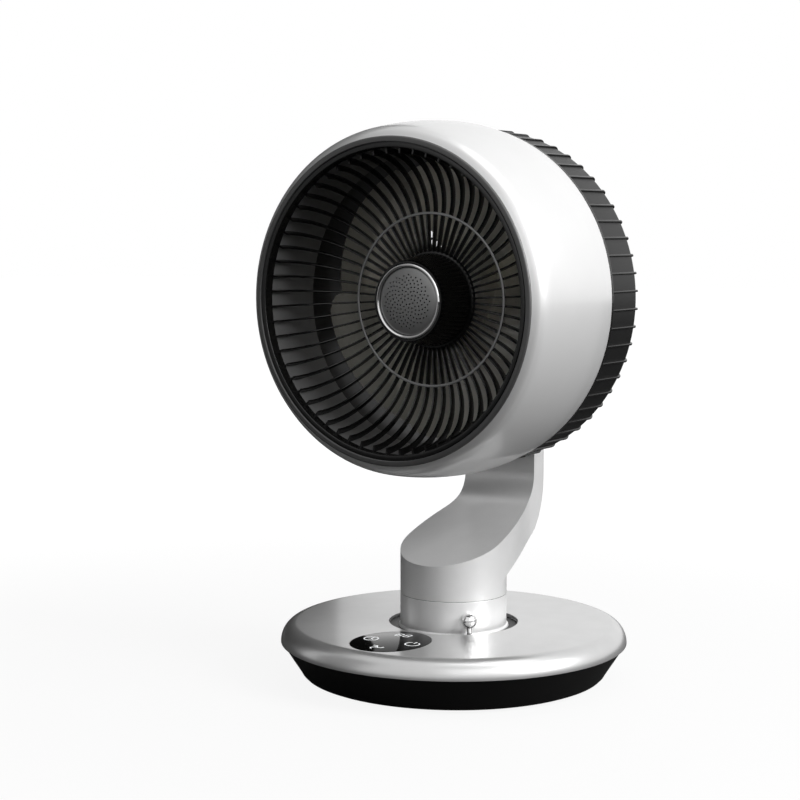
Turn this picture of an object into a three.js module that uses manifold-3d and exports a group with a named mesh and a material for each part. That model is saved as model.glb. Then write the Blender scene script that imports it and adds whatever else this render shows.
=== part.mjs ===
// Desktop air circulator: a round fan head on a swinging S-shaped arm over a weighted disc base.
// Millimetres, +Z up. The origin lies on the floor under the middle of the base.
// The fan blows towards -Y, and the fan axis is level, parallel to Y, at height axisHeight.
import * as THREE from 'three';
import { mergeVertices } from 'three/addons/utils/BufferGeometryUtils.js';
import Module from 'manifold-3d';

const wasm = await Module();
wasm.setup();

// ---------------------------------------------------------------- driving dimensions
const gap = 0.3;                 // air between pieces that seat on each other
const runGap = 0.4;              // air between pieces that turn or slide in each other
const discFacets = 32;           // round the base, neck and shell

// base
const baseRadius = 130;          // widest edge of the lid
const footProud = 1.5;           // how far the rubber feet stand out under the pan
const panBottomRadius = baseRadius - 21;
const panShoulderRadius = baseRadius - 14.8;
const panShoulderRise = 4.8;
const panWall = 2.6;
const panFloor = 3.5;
const panTop = 27.2;             // height of the pan's open edge
const panTopInset = 1.4;         // how far that edge stands back under the lid's
const lidTop = 41.2;             // height of the flat top of the lid
const lidWall = 2.4;
const lidShoulder = 12;          // radial width of the lid's rounded shoulder
const footCount = 5;
const footRadius = 8;
const footCircle = baseRadius - 36;
const footSink = 1.7;            // how deep a foot sits in its pocket
const ballastInner = 60.5;
const ballastOuter = baseRadius - 38;
const ballastThickness = 7;

// neck between base and arm
const neckRadius = 40;
const neckWall = 3;
const neckTop = 63;
const moatRadius = 48.6;         // hole in the lid round the neck
const moatDepth = 2.9;
const collarFlangeRadius = 56;
const collarFlangeThickness = 2.5;
const footBeadHeight = 1.5;
const footBeadWidth = 1.2;
const slideRingThickness = 1.7;
const slideRingWidth = 2.4;

// screws that hold lid and collar to the pan from below
const screwRadius = 1.75;
const screwHeadRadius = 3.4;
const screwHeadHeight = 2.2;
const screwLength = 13;
const bossRadius = 4.8;
const lidBossCircle = baseRadius - 30;
const lidBossCount = 4;
const collarBossCircle = 50;
const collarBossCount = 3;

// touch panel in the lid
const panelInner = moatRadius + 2.2;
const panelOuter = baseRadius - lidShoulder - 0.8;
const panelHalfLength = (panelOuter - panelInner) / 2;
const panelHalfWidth = panelHalfLength * 0.825;
const panelCentreY = -(panelOuter + panelInner) / 2;
const panelThickness = 1.6;
const panelProud = 0.2;
const panelLedge = 4;
const boardThickness = 1.6;
const controlBoardMargin = 6.5;  // how far the control board stays inside the panel
const chipSize = 16;
const chipDepth = 5;

// mains board
const boardInset = 52;           // middle of the board from the base's edge
const boardHalfWidth = 15;
const boardHalfLength = 24;
const boardPost = 3;             // height of its two feet
const transformerSize = [18, 18, 12];
const capacitorRadius = 5;
const capacitorHeight = 11;

// power inlet in the rear wall
const inletInset = 33;           // inner end of the inlet from the base's edge
const inletHalfWidth = 7;
const inletBody = 8;             // length of its square part
const inletHeight = 13.5;
const inletRadius = 5;
const inletBore = 3.3;
const inletBoreDepth = 9;
const inletSink = 0.6;           // how far its face stands back in the wall

// push-pull pin with a ball
const pinCircle = 45.5;
const pinAngle = -43;            // degrees from +X
const ballRadius = 5.1;
const ballHeight = 49.6;
const pinRadius = 1.75;
const pinTravel = 4;
const bushWall = 0.7;
const bushLength = 4.5;
const pinShoulder = 1.2;
const pinTail = 7;
const switchSize = [10, 7];

// swing drive under the neck
const toothModule = 2.5;         // pitch diameter over number of teeth
const gearTeeth = 32;
const pinionTeeth = 8;
const gearThickness = 6;
const gearBore = 27;
const swingMotorRadius = 21;
const swingMotorHeight = 15;
const swingShaftRadius = 3;
const swingShaftDepth = 8;       // how far the pinion's shaft runs down into the motor
const plinthRadius = 9;
const spindleWall = 3.4;
const spindleTop = 78;

// arm
const armWidth = 62;
const armThickness = 16.3;
const armSlopeFront = 89;        // height of the sloped face at the front of the neck
const armSlope = 0.3635;         // rise of that face per millimetre towards the rear
const armSlopeRear = 24.5;       // where the slope ends, in front of the upright part's face
const pivotPinRadius = 4;
const lugHalfWidth = 12.9;
const washerThickness = 0.9;
const capThickness = 1.6;
const coverPlateThickness = 2.1;

// head: axis height and stations along the axis
const axisHeight = 284;
const mouthY = -89.4;            // front plane of the head
const shellRadius = 129.6;
const mouthRadius = shellRadius - 13.6;
const shellRearRadius = shellRadius - 2.8;
const shellRearY = 7.5;
const shellWall = 2.6;
const bezelWidth = 4.1;
const bezelThickness = 1.5;
const lipWidth = 3.3;            // black lip between bezel and throat
const lipDepth = 9;
const ductWall = 1.8;
const ductSplitY = -29;          // where the grey duct ends and the dark shroud starts
const shroudRearY = 38;

// front grille
const ribCount = 60;             // in each grille
const ringFacets = ribCount / 2; // so that every facet of a large ring carries two ribs
const facetSlack = 0.5;          // how far a coarse ring's corners stand out past a finer ring's flats
const frontRibThickness = 1.7;
const frontRibDepth = 4.6;
const bowlDepth = 58.1;          // from the front plane to the flat middle of the grille
const midRingRadius = 62.8;
const midRingWidth = 2.2;
const trimRingThickness = 1.2;
const hubPlateRadius = 42;
const hubPlateThickness = 3;

// hub in the middle of the front grille
const hubBaseRadius = 34;
const hubFrontRadius = 29.2;
const hubLength = 31;
const hubFlutes = 24;
const fluteDepth = 0.9;
const hubWall = 2.5;
const hubRingRadius = 27.2;
const hubRingWidth = 2.7;
const capDome = 3.2;

// impeller and motor
const bladeCount = 5;
const tipGap = 5;
const impellerHubRadius = 38;
const impellerLength = 46;
const impellerStandoff = 4.3;
const bladeThickness = 2.2;
const bladeDepth = 34;
const bladeRootAngle = 46;
const bladeTipAngle = 58;
const shaftRadius = 4;
const shaftDepth = 18;           // how far the shaft runs into the motor
const motorRadius = 33;
const motorLength = 31.2;
const motorGap = 2;

// rear grille and motor cover
const rearRibThickness = 2;
const rearRibDepth = 4.5;
const rearPlateRadius = 44;
const rearPlateThickness = 3.5;
const rearCorner = 9;
const rearSwirl = -34;           // degrees that a rib leans round between corner and middle
const coverRadius = 43;
const coverThickness = 3.7;
const coverScrewCircle = 28;
const coverScrewLength = 14;
const pivotBehindCover = 12.2;

// ---------------------------------------------------------------- derived places
const lidUnder = lidTop - lidWall;
const panFloorTop = footProud + panFloor;
const moatFloor = lidTop - moatDepth;
const collarUnder = moatFloor - collarFlangeThickness;
const neckInner = neckRadius - neckWall;
const spindleRadius = neckInner - runGap;
const armBottom = neckTop + runGap;
const gearTop = collarUnder - gap;
const swingCentres = (gearTeeth + pinionTeeth) * toothModule / 2;
const motorLow = panFloorTop + ballastThickness + 2 * gap;
const motorHigh = motorLow + swingMotorHeight;
const panelTop = lidTop + panelProud;
const bezelInner = mouthRadius - bezelWidth;
const rimRadius = bezelInner - 2 * gap;
const throatRadius = rimRadius - lipWidth;
const ductRadius = throatRadius + 1;
const rimRearY = mouthY + lipDepth;
const bowlY = mouthY + bowlDepth;
const hubPlateRearY = bowlY + hubPlateThickness;
const impellerFrontY = hubPlateRearY + impellerStandoff;
const impellerRearY = impellerFrontY + impellerLength;
const motorFrontY = impellerRearY + motorGap;
const motorRearY = motorFrontY + motorLength;
const rearPlateY = motorRearY + gap;
const rearPlateBackY = rearPlateY + rearPlateThickness;
const coverY = rearPlateBackY + gap;
const coverRearY = coverY + coverThickness;
const pivotY = coverRearY + pivotBehindCover;
const armFrontY = pivotY - armThickness / 2;
const armRearY = pivotY + armThickness / 2;
const earRadius = armThickness / 2;
const slotHalfWidth = lugHalfWidth + washerThickness + 2 * gap;
const cageRadius = shellRearRadius - 0.8;
const cageFrontY = shellRearY + gap;
const cageRearY = rearPlateBackY - 1;

// ---------------------------------------------------------------- geometry helpers
const rad = THREE.MathUtils.degToRad;
const lerp = THREE.MathUtils.lerp;

function signedVolume(geometry) {
  const position = geometry.attributes.position;
  const index = geometry.index;
  const corner = [new THREE.Vector3(), new THREE.Vector3(), new THREE.Vector3()];
  let volume = 0;
  for (let i = 0; i < index.count; i += 3) {
    corner.forEach((v, k) => v.fromBufferAttribute(position, index.getX(i + k)));
    volume += corner[0].dot(corner[1].cross(corner[2])) / 6;
  }
  return volume;
}

// One closed mesh: shared corners merged, empty triangles dropped, faces pointing out.
function closed(geometry) {
  const bare = geometry.clone();
  bare.deleteAttribute('normal');
  bare.deleteAttribute('uv');
  const merged = mergeVertices(bare, 1e-4);
  const corners = [];
  for (let i = 0; i < merged.index.count; i += 3) {
    const [a, b, c] = [0, 1, 2].map((k) => merged.index.getX(i + k));
    if (a !== b && b !== c && c !== a) corners.push(a, b, c);
  }
  merged.setIndex(corners);
  if (signedVolume(merged) < 0) merged.setIndex(corners.reverse());
  return merged;
}

function solid(geometry) {
  const mesh = closed(geometry);
  return new wasm.Manifold(new wasm.Mesh({
    numProp: 3,
    vertProperties: new Float32Array(mesh.attributes.position.array),
    triVerts: new Uint32Array(mesh.index.array),
  }));
}

function geometryOf(body) {
  const mesh = body.getMesh();
  const geometry = new THREE.BufferGeometry();
  geometry.setAttribute('position', new THREE.BufferAttribute(mesh.vertProperties, 3));
  geometry.setIndex(new THREE.BufferAttribute(mesh.triVerts, 1));
  return geometry;
}

function join(first, ...others) {
  return others.reduce((body, other) => body.add(other), first);
}

function cut(first, ...tools) {
  return tools.reduce((body, tool) => body.subtract(tool), first);
}

// A closed outline of [radius, height] pairs turned round the Y axis.
function turnedY(outline, segments = discFacets) {
  const points = outline.map(([r, y]) => new THREE.Vector2(Math.max(r, 0), y));
  return new THREE.LatheGeometry([...points, points[0]], segments);
}

// The same, turned round the Z axis.
function turnedZ(outline, segments = discFacets) {
  return turnedY(outline, segments).rotateX(Math.PI / 2);
}

function ringZ(inner, outer, low, high, segments = discFacets) {
  return turnedZ([[inner, low], [outer, low], [outer, high], [inner, high]], segments);
}

function ringY(inner, outer, front, rear, segments = discFacets) {
  return turnedY([[inner, front], [outer, front], [outer, rear], [inner, rear]], segments);
}

function discZ(radius, low, high, segments = 12) {
  return new THREE.CylinderGeometry(radius, radius, high - low, segments)
    .rotateX(Math.PI / 2).translate(0, 0, (low + high) / 2);
}

function discY(radius, front, rear, segments = 12) {
  return new THREE.CylinderGeometry(radius, radius, rear - front, segments)
    .translate(0, (front + rear) / 2, 0);
}

function discX(radius, left, right, segments = 12) {
  return new THREE.CylinderGeometry(radius, radius, right - left, segments)
    .rotateZ(Math.PI / 2).translate((left + right) / 2, 0, 0);
}

function block(low, high) {
  const size = high.map((value, k) => value - low[k]);
  const middle = high.map((value, k) => (value + low[k]) / 2);
  return new THREE.BoxGeometry(...size).translate(...middle);
}

function prismZ(shape, low, high, curveSegments = 12) {
  return new THREE.ExtrudeGeometry(shape, { depth: high - low, bevelEnabled: false, curveSegments })
    .translate(0, 0, low);
}

function ellipse(halfWidth, halfLength) {
  return new THREE.Shape().absellipse(0, 0, halfWidth, halfLength, 0, 2 * Math.PI);
}

function polar(radius, degrees) {
  return [radius * Math.cos(rad(degrees)), radius * Math.sin(rad(degrees))];
}

function around(count, first, radius, visit) {
  return Array.from({ length: count }, (_, k) => {
    const degrees = first + 360 * k / count;
    return visit(...polar(radius, degrees), k, degrees);
  });
}

// ---------------------------------------------------------------- finishes
function finish(color, roughness, metalness) {
  return () => new THREE.MeshStandardMaterial({ color, roughness, metalness });
}

const pearl = finish('#e6e6e6', 0.35, 0.1);
const silver = finish('#b4b4b4', 0.38, 0.6);
const black = finish('#161616', 0.35, 0);
const satinBlack = finish('#1c1c1c', 0.5, 0);
const gunmetal = finish('#4a4a4a', 0.4, 0.4);
const ductGrey = finish('#6a6a6a', 0.5, 0.1);
const chrome = finish('#d8d8d8', 0.12, 1);
const steel = finish('#a8a8a8', 0.35, 0.9);
const castIron = finish('#55504c', 0.7, 0.5);
const smoke = finish('#8d8f86', 0.25, 0);
const rubber = finish('#202020', 0.9, 0);
const glass = finish('#08080a', 0.08, 0);
const boardGreen = finish('#1f5a3a', 0.6, 0);
const nylon = finish('#e4e0d4', 0.5, 0);

const circulator = new THREE.Group();
const base = new THREE.Group();
const column = new THREE.Group();
const head = new THREE.Group();
head.position.z = axisHeight;
circulator.add(base, column, head);

function part(group, name, shape, material) {
  const geometry = shape.isBufferGeometry ? closed(shape) : geometryOf(shape);
  const mesh = new THREE.Mesh(geometry, material());
  mesh.name = name;
  group.add(mesh);
  return mesh;
}

// ---------------------------------------------------------------- base: pan, lid and what they hold
const footPlaces = (visit) => around(footCount, 90, footCircle, visit);
const lidBosses = (visit) => around(lidBossCount, 45, lidBossCircle, visit);
const collarBosses = (visit) => around(collarBossCount, 30, collarBossCircle, visit);
const screwPlaces = (visit) => [...lidBosses(visit), ...collarBosses(visit)];
const screwSeat = footProud + screwHeadHeight + gap;

const inletY = baseRadius - inletInset;

function panRadiusAt(height) {
  const rise = (height - footProud - panShoulderRise) / (panTop - footProud - panShoulderRise);
  return lerp(panShoulderRadius, baseRadius - panTopInset, rise);
}

function makePan() {
  const shoulder = footProud + panShoulderRise;
  const topRadius = panRadiusAt(panTop);
  const bowl = solid(turnedZ([
    [0, footProud], [panBottomRadius, footProud],
    [lerp(panBottomRadius, panShoulderRadius, 0.7), footProud + panShoulderRise * 0.4],
    [panShoulderRadius, shoulder], [topRadius, panTop], [topRadius - panWall, panTop],
    [panShoulderRadius - panWall, panFloorTop + 2.5], [panBottomRadius - panWall, panFloorTop],
    [0, panFloorTop],
  ]));
  const plinth = solid(discZ(plinthRadius, footProud + 1, motorLow - gap).translate(0, swingCentres, 0));
  const screwHoles = screwPlaces((x, y) => solid(turnedZ([
    [0, footProud - 1], [screwHeadRadius + gap, footProud - 1], [screwHeadRadius + gap, screwSeat],
    [screwRadius + gap, screwSeat], [screwRadius + gap, panFloorTop + 1], [0, panFloorTop + 1],
  ], 6).translate(x, y, 0)));
  const pockets = footPlaces((x, y) => solid(discZ(footRadius + gap, 0, footProud + footSink + gap, 10)
    .translate(x, y, 0)));
  const inletHole = solid(discY(inletRadius + gap, inletY, baseRadius).translate(0, 0, inletHeight));
  return cut(join(bowl, plinth), inletHole, ...screwHoles, ...pockets);
}

// a hole for a screw, from under a boss to past the screw's end
function screwBore(x, y) {
  return solid(discZ(screwRadius + gap, panFloorTop - 1, screwSeat + screwLength + 1, 6).translate(x, y, 0));
}

function makeLid() {
  const shoulderEdge = panTop + gap;
  const shoulderHeight = lidTop - shoulderEdge;
  const arc = (inset, steps) => Array.from({ length: steps + 1 }, (_, k) => {
    const turn = Math.PI / 2 * k / steps;
    return [
      baseRadius - lidShoulder + (lidShoulder - inset) * Math.cos(turn),
      shoulderEdge + (shoulderHeight - inset) * Math.sin(turn),
    ];
  });
  const skin = solid(turnedZ([
    ...arc(0, 4), [moatRadius, lidTop], [moatRadius, lidUnder], ...arc(lidWall, 2).reverse(),
  ]));
  const bosses = lidBosses((x, y) => solid(discZ(bossRadius, panFloorTop + gap, lidUnder + 1, 8)
    .translate(x, y, 0)));
  const recess = prismZ(ellipse(panelHalfWidth + gap, panelHalfLength + gap),
    panelTop - panelThickness - gap, lidTop + 1, 10);
  const window = prismZ(ellipse(panelHalfWidth - panelLedge, panelHalfLength - panelLedge),
    lidUnder - 1, lidTop + 1, 8);
  return cut(join(skin, ...bosses), ...lidBosses(screwBore), solid(recess.translate(0, panelCentreY, 0)),
    solid(window.translate(0, panelCentreY, 0)));
}

part(base, 'base_pan', makePan(), satinBlack);
part(base, 'base_lid', makeLid(), silver);

part(base, 'ballast_ring',
  ringZ(ballastInner, ballastOuter, panFloorTop + gap, panFloorTop + gap + ballastThickness, 20), castIron);

footPlaces((x, y, k) => part(base, `foot_${k + 1}`, turnedZ([
  [0, 0], [footRadius - 0.8, 0], [footRadius, 0.8], [footRadius, footProud + footSink],
  [0, footProud + footSink],
], 10).translate(x, y, 0), rubber));

function screwGeometry() {
  const low = footProud + gap / 2;
  return turnedZ([
    [0, low], [screwHeadRadius, low], [screwHeadRadius, screwSeat - gap], [screwRadius, screwSeat - gap],
    [screwRadius, screwSeat + screwLength], [0, screwSeat + screwLength],
  ], 6);
}

lidBosses((x, y, k) => part(base, `lid_screw_${k + 1}`, screwGeometry().translate(x, y, 0), steel));
collarBosses((x, y, k) => part(base, `collar_screw_${k + 1}`, screwGeometry().translate(x, y, 0), steel));

// touch panel and its board
part(base, 'control_panel',
  prismZ(ellipse(panelHalfWidth, panelHalfLength), panelTop - panelThickness, panelTop, 10)
  .translate(0, panelCentreY, 0), glass);
const boardTop = lidUnder - gap;
const boardUnder = boardTop - boardThickness;
const [controlX, controlY] = [panelHalfWidth - controlBoardMargin, panelHalfLength - controlBoardMargin];
part(base, 'control_board', join(
  solid(block([-controlX, panelCentreY - controlY, boardUnder],
    [controlX, panelCentreY + controlY, boardTop])),
  solid(block([-chipSize / 2, panelCentreY - chipSize, boardUnder - chipDepth],
    [chipSize / 2, panelCentreY, boardUnder + boardThickness / 2])),
), boardGreen);

// mains board on the ballast, power inlet in the rear wall
const boardX = boardInset - baseRadius;
const boardFeetZ = panFloorTop + 2 * gap + ballastThickness;
const mainsUnder = boardFeetZ + boardPost;
const mainsTop = mainsUnder + boardThickness;

function boardFoot(side) {
  const half = boardHalfWidth * 0.75;
  const length = boardHalfLength * 0.33;
  const foot = block([boardX - half, -length / 2, boardFeetZ],
    [boardX + half, length / 2, mainsUnder + boardThickness / 2]);
  return solid(foot.translate(0, side * boardHalfLength * 0.66, 0));
}

function makePowerBoard() {
  const [width, length, height] = transformerSize;
  const board = solid(block([boardX - boardHalfWidth, -boardHalfLength, mainsUnder],
    [boardX + boardHalfWidth, boardHalfLength, mainsTop]));
  const transformer = solid(block([boardX - width / 2, -length / 3, mainsUnder + boardThickness / 2],
    [boardX + width / 2, length * 2 / 3, mainsTop + height]));
  const capacitor = solid(discZ(capacitorRadius, mainsUnder + boardThickness / 2, mainsTop + capacitorHeight)
    .translate(boardX, -boardHalfLength * 0.63, 0));
  return join(board, transformer, capacitor, boardFoot(-1), boardFoot(1));
}

part(base, 'power_board', makePowerBoard(), boardGreen);

const inletFace = panRadiusAt(inletHeight) - inletSink;
part(base, 'power_inlet', cut(
  join(
    solid(block([-inletHalfWidth, inletY, panFloorTop + gap],
      [inletHalfWidth, inletY + inletBody, inletHeight + inletRadius + 1])),
    solid(discY(inletRadius, inletY + inletBody - 1, inletFace).translate(0, 0, inletHeight)),
  ),
  solid(discY(inletBore, inletFace - inletBoreDepth, inletFace + 2).translate(0, 0, inletHeight)),
), black);

// ---------------------------------------------------------------- neck collar, slide ring, swing drive
const [pinX, pinY] = polar(pinCircle, pinAngle);
const bushRadius = pinRadius + gap + bushWall;
const bushLow = moatFloor - bushLength + 0.6;

function makeCollar() {
  const ringSeat = neckTop - slideRingThickness - gap / 2;
  const neck = solid(turnedZ([
    [neckInner, collarUnder], [collarFlangeRadius, collarUnder], [collarFlangeRadius, moatFloor],
    [neckRadius + footBeadWidth, moatFloor], [neckRadius, moatFloor + footBeadHeight], [neckRadius, neckTop],
    [neckInner + slideRingWidth + gap, neckTop], [neckInner + slideRingWidth + gap, ringSeat],
    [neckInner, ringSeat],
  ]));
  const legs = collarBosses((x, y) => solid(discZ(bossRadius - gap, panFloorTop + gap, collarUnder + 1, 8)
    .translate(x, y, 0)));
  const bushHole = solid(discZ(bushRadius + gap, collarUnder - 1, moatFloor + 1).translate(pinX, pinY, 0));
  return cut(join(neck, ...legs), bushHole, ...collarBosses(screwBore));
}

part(base, 'neck_collar', makeCollar(), silver);
part(base, 'slide_ring', ringZ(neckInner + gap, neckInner + slideRingWidth,
  neckTop + gap / 2 - slideRingThickness, neckTop + gap / 2, 24), nylon);

// a spur gear's outline, with a tooth centred on +X when phase is 0
function gearShape(teeth, phase, bore) {
  const pitchRadius = teeth * toothModule / 2;
  const step = 2 * Math.PI / teeth;
  const levels = [[pitchRadius - 1.15 * toothModule, 0.28], [pitchRadius + 0.8 * toothModule, 0.12]];
  const points = [];
  for (let tooth = 0; tooth < teeth; tooth++) {
    const middle = (tooth + phase) * step;
    for (const [r, half] of levels) points.push([r, middle - half * step]);
    for (const [r, half] of [...levels].reverse()) points.push([r, middle + half * step]);
  }
  const shape = new THREE.Shape(points.map(([r, a]) => new THREE.Vector2(r * Math.cos(a), r * Math.sin(a))));
  if (bore) shape.holes.push(new THREE.Path().absarc(0, 0, bore, 0, 2 * Math.PI, true));
  return shape;
}

// a tooth of the gear and a gap of the pinion meet on the line of centres, along +Y
const gearPhase = (gearTeeth / 4) % 1;
const pinionPhase = (pinionTeeth / 4) % 1 + 0.5;
part(column, 'swing_gear',
  prismZ(gearShape(gearTeeth, gearPhase, gearBore), gearTop - gearThickness, gearTop, 6), nylon);

part(base, 'swing_motor', cut(
  join(
    solid(discZ(swingMotorRadius, motorLow, motorHigh, 20)),
    solid(discZ(swingShaftRadius + 3, motorHigh - 1, gearTop - gearThickness - 2 * gap)),
  ),
  solid(discZ(swingShaftRadius + runGap, motorHigh - swingShaftDepth, motorHigh + 10)),
).translate(0, swingCentres, 0), steel);

const pinion = part(column, 'swing_pinion', join(
  solid(prismZ(gearShape(pinionTeeth, pinionPhase), gearTop - gearThickness, gearTop)),
  solid(discZ(swingShaftRadius, motorHigh - swingShaftDepth + runGap, gearTop - 1)),
), nylon);
pinion.position.y = swingCentres;

part(column, 'swing_spindle',
  ringZ(spindleRadius - spindleWall, spindleRadius, gearTop + gap, spindleTop, 24), nylon);

// ---------------------------------------------------------------- ball-ended pin, its bush and switch
part(base, 'pin_bush',
  ringZ(pinRadius + gap, bushRadius, bushLow, moatFloor + 0.6, 12).translate(pinX, pinY, 0), steel);

const shoulderTop = bushLow - gap;
const tailEnd = shoulderTop - pinTail;
part(base, 'ball_pin', join(
  solid(new THREE.SphereGeometry(ballRadius, 12, 6).rotateX(Math.PI / 2).translate(0, 0, ballHeight)),
  solid(discZ(pinRadius, tailEnd, ballHeight - 1, 8)),
  solid(discZ(pinRadius + pinShoulder, shoulderTop - 2, shoulderTop, 8)),
).translate(pinX, pinY, 0), chrome);

part(base, 'swing_switch', block(
  [pinX - switchSize[0] / 2, pinY - switchSize[1] / 2, panFloorTop + gap],
  [pinX + switchSize[0] / 2, pinY + switchSize[1] / 2, tailEnd - pinTravel - gap],
), black);

// ---------------------------------------------------------------- arm
const armTaper = 0.5;            // how much of the neck's half width the plan keeps behind the neck

// height of the sloped front face at a place along Y
function slopeAt(y) {
  return armSlopeFront + armSlope * (y + neckRadius);
}

// side view in (Y, Z): the S-shaped front, the round top at the pivot and the flared rear
function armSide(reach) {
  const slopeEnd = armFrontY - armSlopeRear;
  const [frontLow, rearLow] = [slopeAt(slopeEnd), armSlopeFront];
  const side = new THREE.Shape();
  side.moveTo(-reach, armBottom + 2.6);
  side.lineTo(-reach, slopeAt(-reach));
  side.lineTo(slopeEnd, frontLow);
  side.bezierCurveTo(armFrontY - 5, frontLow + 7.1, armFrontY, frontLow + 16.7, armFrontY, frontLow + 29.7);
  side.lineTo(armFrontY, axisHeight);
  side.absarc(pivotY, axisHeight, earRadius, Math.PI, 0, true);
  side.lineTo(armRearY, rearLow + 66);
  side.bezierCurveTo(armRearY, rearLow + 46, armRearY - 5, rearLow + 26, armRearY - 15, rearLow + 15.5);
  const flareStart = neckRadius * 0.15;
  side.bezierCurveTo(armRearY - 27, rearLow + 3, armRearY - 50, rearLow + 1, flareStart, armBottom + 11.5);
  side.lineTo(0, armBottom + 2.6);
  side.closePath();
  return side;
}

// top view in (X, Y): the neck's round front, drawn in to the arm's width behind it
function armPlan() {
  const front = neckRadius - 0.1;
  const half = armWidth / 2;
  const corner = 3.5;
  const narrow = armFrontY - 4;
  const plan = new THREE.Shape();
  plan.absarc(0, 0, front, Math.PI, 2 * Math.PI, false);
  plan.bezierCurveTo(front, narrow * armTaper, half, narrow * 0.8, half, narrow);
  plan.lineTo(half, armRearY - corner);
  plan.quadraticCurveTo(half, armRearY + 1, half - corner, armRearY + 1);
  plan.lineTo(-half + corner, armRearY + 1);
  plan.quadraticCurveTo(-half, armRearY + 1, -half, armRearY - corner);
  plan.lineTo(-half, narrow);
  plan.bezierCurveTo(-half, narrow * 0.8, -front, narrow * armTaper, -front, 0);
  return plan;
}

// an outline drawn in (Y, Z) made into a bar along X
function barX(shape, left, right, curveSegments) {
  return new THREE.ExtrudeGeometry(shape, { depth: right - left, bevelEnabled: false, curveSegments })
    .applyMatrix4(new THREE.Matrix4().set(0, 0, 1, left, 1, 0, 0, 0, 0, 1, 0, 0, 0, 0, 0, 1));
}

const coverLow = armSlopeFront + 64;
const coverHigh = axisHeight - 22;
const coverHalf = armWidth / 2 - 4;
const coverLedge = 3;            // land that carries the cover's edge, and the wall in front of the channel
const coverScrewZ = [coverLow + 8, coverHigh - 8];

function makeArm() {
  const reach = neckRadius + 5;
  const side = solid(barX(armSide(reach), -reach, reach, 6));
  const under = new THREE.Shape([[-reach, 0], [-reach, slopeAt(-reach)], [reach, slopeAt(reach)], [reach, 0]]
    .map((p) => new THREE.Vector2(...p)));
  const stub = solid(discZ(neckRadius, armBottom, armSlopeFront + 40, discFacets))
    .intersect(solid(barX(under, -reach, reach)));
  const limb = solid(prismZ(armPlan(), armBottom, axisHeight + 20, 7)).intersect(side);
  const bore = solid(discX(pivotPinRadius + gap, -armWidth, armWidth).translate(0, pivotY, axisHeight));
  const slot = solid(block([-slotHalfWidth, armFrontY - 2, axisHeight - earRadius - 1.2],
    [slotHalfWidth, armRearY + 2, axisHeight + earRadius + 2]));
  const channel = solid(block([-coverHalf + coverLedge, armFrontY + coverLedge, coverLow + coverLedge],
    [coverHalf - coverLedge, armRearY + 2, coverHigh - coverLedge]));
  const rebate = solid(block([-coverHalf - gap, armRearY - coverPlateThickness - gap, coverLow - gap],
    [coverHalf + gap, armRearY + 2, coverHigh + gap]));
  const socket = solid(discZ(spindleRadius + gap, armBottom - 1, spindleTop + gap, 24));
  const posts = coverScrewZ.map((z) => solid(
    discY(4, armFrontY + 3, armRearY - coverPlateThickness - gap, 8).translate(0, 0, z)));
  const threads = coverScrewZ.map((z) => solid(
    discY(screwRadius, armRearY - 10, armRearY, 6).translate(0, 0, z)));
  return cut(join(cut(join(stub, limb), bore, slot, channel, rebate, socket), ...posts), ...threads);
}

part(column, 'swing_arm', makeArm(), silver);

part(column, 'arm_cover', cut(
  solid(block([-coverHalf, armRearY - coverPlateThickness, coverLow], [coverHalf, armRearY, coverHigh])),
  ...coverScrewZ.map((z) => solid(discY(screwRadius, armRearY - 8, armRearY + 2, 6).translate(0, 0, z))),
), silver);

coverScrewZ.forEach((z, k) => part(column, `cover_screw_${k + 1}`, turnedY([
  [0, armRearY - 7], [screwRadius - gap, armRearY - 7], [screwRadius - gap, armRearY + gap],
  [3, armRearY + gap],
  [2.4, armRearY + 1.4], [0, armRearY + 1.4],
], 6).translate(0, 0, z), steel));

// tilt pivot: pin, friction washers and end caps
const pinEnd = armWidth / 2 - gap;
part(column, 'tilt_pin', discX(pivotPinRadius, -pinEnd, pinEnd).translate(0, pivotY, axisHeight), steel);
function pivotDisc(sign, radius, inner, thickness) {
  const [left, right] = [sign * inner, sign * (inner + thickness)].sort((a, b) => a - b);
  return discX(radius, left, right).translate(0, pivotY, axisHeight);
}

for (const [side, sign] of [['left', -1], ['right', 1]]) {
  part(column, `friction_washer_${side}`, cut(
    solid(pivotDisc(sign, earRadius - 1, lugHalfWidth + gap, washerThickness)),
    solid(pivotDisc(sign, pivotPinRadius + gap, 0, armWidth / 2)),
  ), nylon);
  part(column, `pivot_cap_${side}`,
    pivotDisc(sign, earRadius - 1.2, armWidth / 2 + gap, capThickness), chrome);
}

// ---------------------------------------------------------------- head: shell, bezel, duct
function shellOutline() {
  const front = mouthY + bezelThickness + gap;
  const outer = new THREE.SplineCurve([
    [mouthRadius, front], [lerp(mouthRadius, shellRadius, 0.36), front + 4],
    [lerp(mouthRadius, shellRadius, 0.62), front + 13],
    [lerp(mouthRadius, shellRadius, 0.9), lerp(front, shellRearY, 0.42)],
    [shellRadius, lerp(front, shellRearY, 0.72)],
    [lerp(shellRadius, shellRearRadius, 0.45), shellRearY - 10], [shellRearRadius, shellRearY],
  ].map((p) => new THREE.Vector2(...p))).getPoints(6).map((p) => [p.x, p.y]);
  const inner = outer.filter((_, k) => k % 3 === 0).map(([r, y]) => [r - shellWall, y]).reverse();
  return [...outer, ...inner];
}

part(head, 'head_shell', turnedY(shellOutline()), pearl);
part(head, 'bezel_ring',
  ringY(bezelInner, mouthRadius, mouthY, mouthY + bezelThickness, ringFacets), gunmetal);
part(head, 'duct_ring',
  ringY(ductRadius, ductRadius + ductWall, rimRearY + gap, ductSplitY, ringFacets), ductGrey);
part(head, 'shroud_ring', turnedY([
  [ductRadius, ductSplitY + gap], [ductRadius + ductWall, ductSplitY + gap],
  [ductRadius + ductWall, shroudRearY],
  [ductRadius + 0.4, shroudRearY],
], ringFacets), black);

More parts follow.
